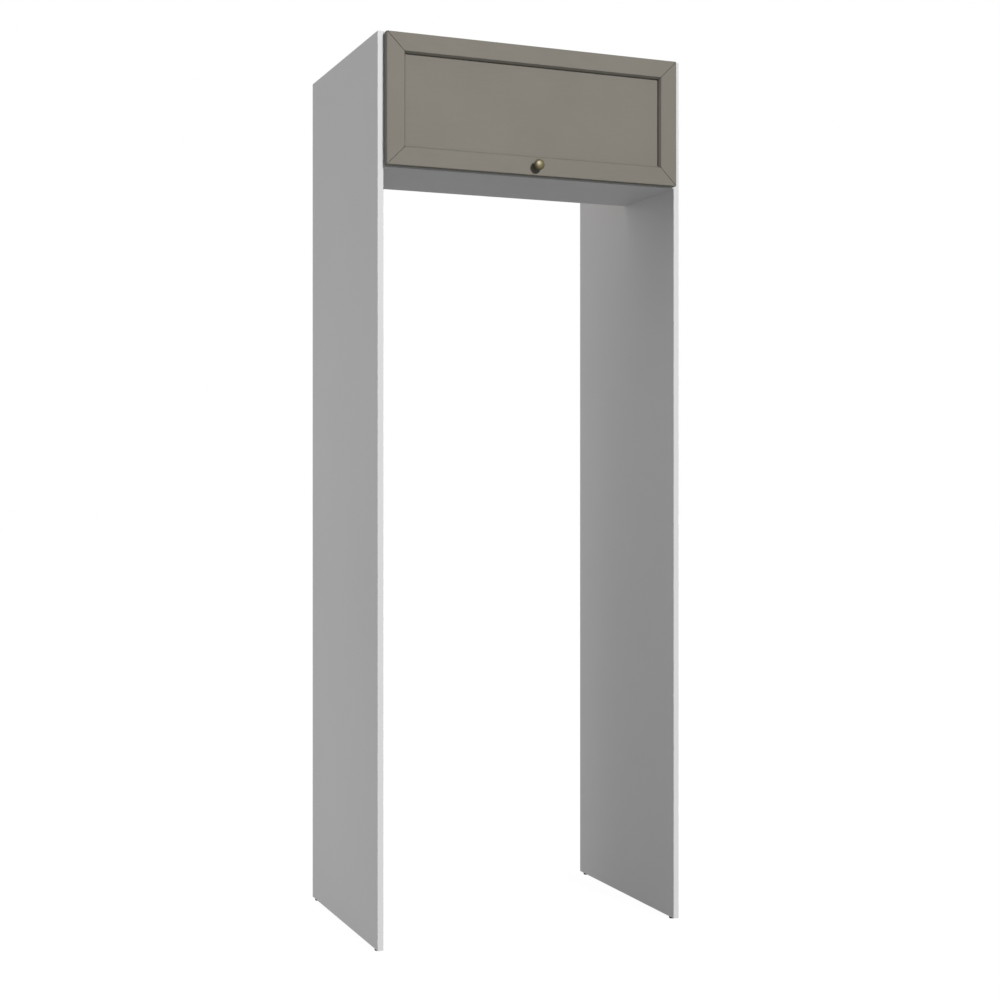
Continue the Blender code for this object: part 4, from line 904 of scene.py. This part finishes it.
class HOUSING_OT_fit_struts(bpy.types.Operator):
    """Fits both gas struts: tubes, guide bushes, rods, sockets, brackets and bracket screws"""

    bl_idname = "housing.fit_struts"
    bl_label = "Fit the struts"

    def execute(self, context):
        radius = settings().fittings.edge_radius
        for side in SIDES:
            strut = side + "_strut_"
            start = joint_place(side + "_tube_swing")
            end = joint_place(side + "_rod_swing")
            direction = (end - start).normalized()
            self.fit_tube(strut + "tube", start, direction)
            self.fit_bush(strut + "guide_bush", start, direction)
            self.fit_rod(strut + "rod", end, -direction)
            for name in ("tube_socket", "rod_socket"):
                soften_solid(strut + name, 2 * radius, surface(filled_nylon), "moulded")
            for name in ("side_bracket", "door_bracket"):
                soften_solid(strut + name, radius, surface(zinc_plate))
            self.fit_bracket_screws(side, start.z)
        return {"FINISHED"}

    def fit_tube(self, node, pivot, direction):
        """A drawn tube, closed and rounded behind, with a groove rolled in near its mouth."""
        fittings = settings().fittings
        seen = seen_along(node, pivot, direction)
        tube = measured(seen)
        outer, mouth = tube.widest, tube.top
        inner = outer - fittings.tube_wall
        lip = fittings.tube_wall / 2
        start = min(height for height, radius in seen if radius > outer * HALF)
        floor = start + fittings.tube_floor
        end = outer / 3
        bead = mouth - 3 * fittings.bead_width
        groove = (-fittings.bead_depth, -fittings.bead_width / 2)
        profile = [(0, floor), (inner, floor), (inner, mouth - lip)]
        profile += arc((outer - lip, mouth - lip), (lip, lip), 2 * QUARTER_TURN, 0, steps=8)[1:]
        profile += arc((outer, bead), groove, -QUARTER_TURN, QUARTER_TURN, steps=8)
        profile += arc((outer - end, start + end), (end, end), 0, -QUARTER_TURN, steps=6)
        profile += [(tube.foot, start), (tube.foot, tube.bottom), (0, tube.bottom)]
        bm = stand(spun(profile, fittings.steps), pivot, direction)
        replace_solid(node, "drawn", bm, surface(black_lacquer))

    def fit_bush(self, node, pivot, direction):
        """The nylon bush that guides the rod, with a rounded collar on the tube's mouth."""
        seen = seen_along(node, pivot, direction)
        bush = measured(seen)
        bore = min(radius for height, radius in seen)
        edge = (bush.top - bush.rim) * COLLAR_ROUNDING
        profile = [(bore, bush.top)]
        corner = (bush.widest - edge, bush.top - edge)
        profile += arc(corner, (edge, edge), QUARTER_TURN, 0, steps=6)
        profile += [(bush.widest, bush.rim), (bush.foot, bush.rim)]
        profile += [(bush.foot, bush.bottom), (bore, bush.bottom), (bore, bush.top)]
        bm = stand(spun(profile, settings().fittings.steps), pivot, direction)
        replace_solid(node, "moulded", bm, surface(filled_nylon))

    def fit_rod(self, node, pivot, direction):
        """The chromed rod with its piston."""
        seen = seen_along(node, pivot, direction)
        piston = measured(seen)
        rod = measured([row for row in seen if row[0] < piston.rim - WELD])
        edge = (rod.widest - rod.foot) / 2
        profile = [(0, piston.top), (piston.widest - edge, piston.top)]
        profile += [(piston.widest, piston.top - edge), (piston.widest, piston.rim)]
        profile += [(rod.widest, piston.rim), (rod.widest, rod.rim + edge)]
        profile += [(rod.widest - edge, rod.rim), (rod.foot, rod.rim)]
        profile += [(rod.foot, rod.bottom), (0, rod.bottom)]
        bm = stand(spun(profile, settings().fittings.steps), pivot, direction)
        replace_solid(node, "ground", bm, surface(hard_chrome))

    def fit_bracket_screws(self, side, height):
        """Two screws through each bracket, near its ends."""
        inward = INWARD[side]
        low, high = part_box(side + "_strut_side_bracket")
        plate = low.x if side == "left" else high.x
        for name, y in (("front", low.y + SCREW_MARGIN), ("rear", high.y - SCREW_MARGIN)):
            seat = Vector((plate, y, height)) + inward * SIDE_PLATE
            bracket_screw("%s_side_bracket_screw_%s" % (side, name), seat, inward, CARCASS)
        low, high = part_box(side + "_strut_door_bracket")
        x = high.x - SCREW_INSET if side == "left" else low.x + SCREW_INSET
        for name, z in (("low", low.z + SCREW_MARGIN), ("high", high.z - SCREW_MARGIN)):
            seat = Vector((x, low.y + DOOR_PLATE, z))
            bracket_screw("%s_door_bracket_screw_%s" % (side, name), seat, BACK, FLAP)


class HOUSING_OT_fit_small_parts(bpy.types.Operator):
    """Fits the glides, the bumpers, the connector screws and the wall brackets"""

    bl_idname = "housing.fit_small_parts"
    bl_label = "Fit the small parts"

    def execute(self, context):
        zinc = surface(zinc_plate)
        for side in SIDES:
            for place in ("front", "rear"):
                self.fit_glide("glide_%s_%s" % (place, side))
                fit_screw("connector_screw_%s_%s" % (place, side), INWARD[side], zinc)
            self.fit_bumper("door_bumper_" + side)
            bracket = "wall_bracket_" + side
            soften_solid(bracket, settings().fittings.edge_radius, zinc)
            low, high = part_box(bracket)
            seat = middle_of(bracket)
            seat.x = low.x if side == "left" else high.x
            seat += INWARD[side] * WALL_PLATE
            bracket_screw(bracket + "_screw", seat, INWARD[side], CARCASS)
        return {"FINISHED"}

    def fit_glide(self, node):
        """A round glide with a softened tread and its nail."""
        middle = middle_of(node)
        middle.z = 0
        seen = seen_along(node, middle, UP)
        glide = measured(seen)
        radius, tread = glide.widest, glide.foot
        seat = max(height for height, reach in seen if reach > RIM_SHARE * radius)
        nail = max(reach for height, reach in seen if height > seat + WELD)
        point = max(height for height, reach in seen if reach > nail * HALF)
        edge = seat / 8
        profile = [(0, glide.top), (nail, point), (nail, seat)]
        profile += arc((radius - edge, seat - edge), (edge, edge), QUARTER_TURN, 0, steps=4)
        softened = (radius - tread, seat * HALF)
        profile += arc((tread, seat * HALF), softened, 0, -QUARTER_TURN, steps=8) + [(0, 0)]
        bm = stand(spun(profile, settings().fittings.steps), middle, UP)
        replace_solid(node, "moulded", bm, surface(polyethylene))

    def fit_bumper(self, node):
        """A domed bumper with its stem."""
        middle = middle_of(node)
        middle.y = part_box(node)[0].y
        bumper = measured(seen_along(node, middle, BACK))
        seat, stem = bumper.rim, bumper.foot
        edge = (bumper.top - seat) / 4
        dome = (bumper.widest, bumper.top - seat - edge)
        profile = arc((0, seat + edge), dome, QUARTER_TURN, 0, steps=10)
        profile += [(bumper.widest - edge, seat), (stem, seat), (stem, edge)]
        profile += [(stem - edge, 0), (0, 0)]
        bm = stand(spun(profile, settings().fittings.steps), middle, BACK)
        replace_solid(node, "cast", bm, surface(clear_polyurethane))


class HOUSING_OT_set_stage(bpy.types.Operator):
    """Sets the pale floor, the even studio light and the camera"""

    bl_idname = "housing.set_stage"
    bl_label = "Set the stage"

    def execute(self, context):
        stage = settings().stage
        self.lay_floor(stage)
        self.light_sky(stage)
        self.hang_key_light(stage)
        fill_place = Vector(stage.fill_place)
        self.hang_softbox("fill_softbox", fill_place, -RIGHT, stage.fill_size, stage.fill_power)
        self.place_camera(stage)
        context.scene.view_settings.view_transform = "Standard"
        return {"FINISHED"}

    def hang_key_light(self, stage):
        """A large, distant softbox in front of the flap, a little to its right and above it."""
        level = math.cos(stage.key_elevation)
        direction = Vector((
            math.sin(stage.key_azimuth) * level,
            -math.cos(stage.key_azimuth) * level,
            math.sin(stage.key_elevation),
        ))
        place = middle_of("door_centre_panel") + direction * stage.key_distance
        self.hang_softbox("key_softbox", place, direction, stage.key_size, stage.key_power)

    def hang_softbox(self, name, place, direction, size, power):
        """A square softbox whose back is turned along a direction. The camera doesn't see it."""
        lamp = bpy.data.lights.new(name, "AREA")
        lamp.energy = power
        lamp.size = size
        holder = new_object(name, lamp)
        holder.location = place
        holder.rotation_euler = direction.to_track_quat("Z", "Y").to_euler()
        holder.visible_camera = False

    def lay_floor(self, stage):
        """A wide floor, pale in the picture. The light that it gives the object is set apart."""
        bm = bmesh.new()
        bmesh.ops.create_grid(bm, x_segments=1, y_segments=1, size=FLOOR_REACH)
        floor = mesh_object("studio_floor", bm)
        material = bpy.data.materials.new("studio_floor")
        tree = empty_tree(material)
        matt = add(tree, "BsdfDiffuse", {"Color": stage.floor_colour})
        seen = add(tree, "LightPath").outputs["Is Camera Ray"]
        levels = {"Value": seen, "To Min": stage.floor_light, "To Max": stage.floor_glow}
        strength = add(tree, "MapRange", levels)
        glow = add(tree, "Emission", {"Color": linear("#FFFFFF"), "Strength": strength})
        add(tree, "OutputMaterial", {"Surface": add(tree, "AddShader", {0: matt, 1: glow})})
        floor.data.materials.append(material)

    def light_sky(self, stage):
        """Soft light that grows from the front to the back, and a white backdrop."""
        world = bpy.data.worlds.new("studio")
        tree = empty_tree(world)
        around = add(tree, "TexCoord").outputs["Generated"]
        heading = add(tree, "SeparateXYZ", {"Vector": around}).outputs["Y"]
        start, end = SKY_GROWS
        levels = {"To Min": stage.sky_front, "To Max": stage.sky_rear}
        soft = add(
            tree, "MapRange", {"Value": heading, "From Min": start, "From Max": end, **levels},
            interpolation_type="SMOOTHSTEP",
        )
        seen = add(tree, "LightPath").outputs["Is Camera Ray"]
        strength = add(tree, "MapRange", {"Value": seen, "To Min": soft, "To Max": stage.backdrop})
        sky = add(tree, "Background", {"Color": linear("#FFFFFF"), "Strength": strength})
        add(tree, "OutputWorld", {"Surface": sky})
        bpy.context.scene.world = world

    def place_camera(self, stage):
        """A level camera where the photograph was taken."""
        lens = bpy.data.cameras.new("camera")
        lens.lens = stage.lens
        lens.shift_y = stage.lens_shift
        camera = new_object("camera", lens)
        camera.location = stage.camera_place
        camera.rotation_euler = (QUARTER_TURN, 0, -stage.camera_turn)
        bpy.context.scene.camera = camera


class HOUSING_PT_steps(bpy.types.Panel):
    """The steps and their settings in the 3D view's sidebar"""

    bl_idname = "HOUSING_PT_steps"
    bl_label = "Fridge housing unit"
    bl_space_type = "VIEW_3D"
    bl_region_type = "UI"
    bl_category = "Housing"

    def draw(self, context):
        for step, group in STEPS:
            box = self.layout.box()
            box.operator(step)
            chosen = getattr(context.scene.housing, group)
            for name in chosen.__annotations__:
                box.prop(chosen, name)


STEPS = (
    ("housing.set_stage", "stage"),
    ("housing.face_boards", "boards"),
    ("housing.lacquer_flap", "flap"),
    ("housing.turn_knob", "knob"),
    ("housing.fit_hinges", "fittings"),
    ("housing.fit_struts", "fittings"),
    ("housing.fit_small_parts", "fittings"),
)

CLASSES = (
    BoardSettings,
    FlapSettings,
    KnobSettings,
    FittingSettings,
    StageSettings,
    HousingSettings,
    HOUSING_OT_set_stage,
    HOUSING_OT_face_boards,
    HOUSING_OT_lacquer_flap,
    HOUSING_OT_turn_knob,
    HOUSING_OT_fit_hinges,
    HOUSING_OT_fit_struts,
    HOUSING_OT_fit_small_parts,
    HOUSING_PT_steps,
)


def register():
    """Adds the classes and the settings."""
    for cls in CLASSES:
        bpy.utils.register_class(cls)
    bpy.types.Scene.housing = bpy.props.PointerProperty(type=HousingSettings)


def unregister():
    """Removes the settings and the classes."""
    del bpy.types.Scene.housing
    for cls in reversed(CLASSES):
        bpy.utils.unregister_class(cls)


def main():
    """Runs every step."""
    register()
    bpy.ops.housing.set_stage()
    bpy.ops.housing.face_boards()
    bpy.ops.housing.lacquer_flap()
    bpy.ops.housing.turn_knob()
    bpy.ops.housing.fit_hinges()
    bpy.ops.housing.fit_struts()
    bpy.ops.housing.fit_small_parts()


if __name__ == "__main__":
    main()
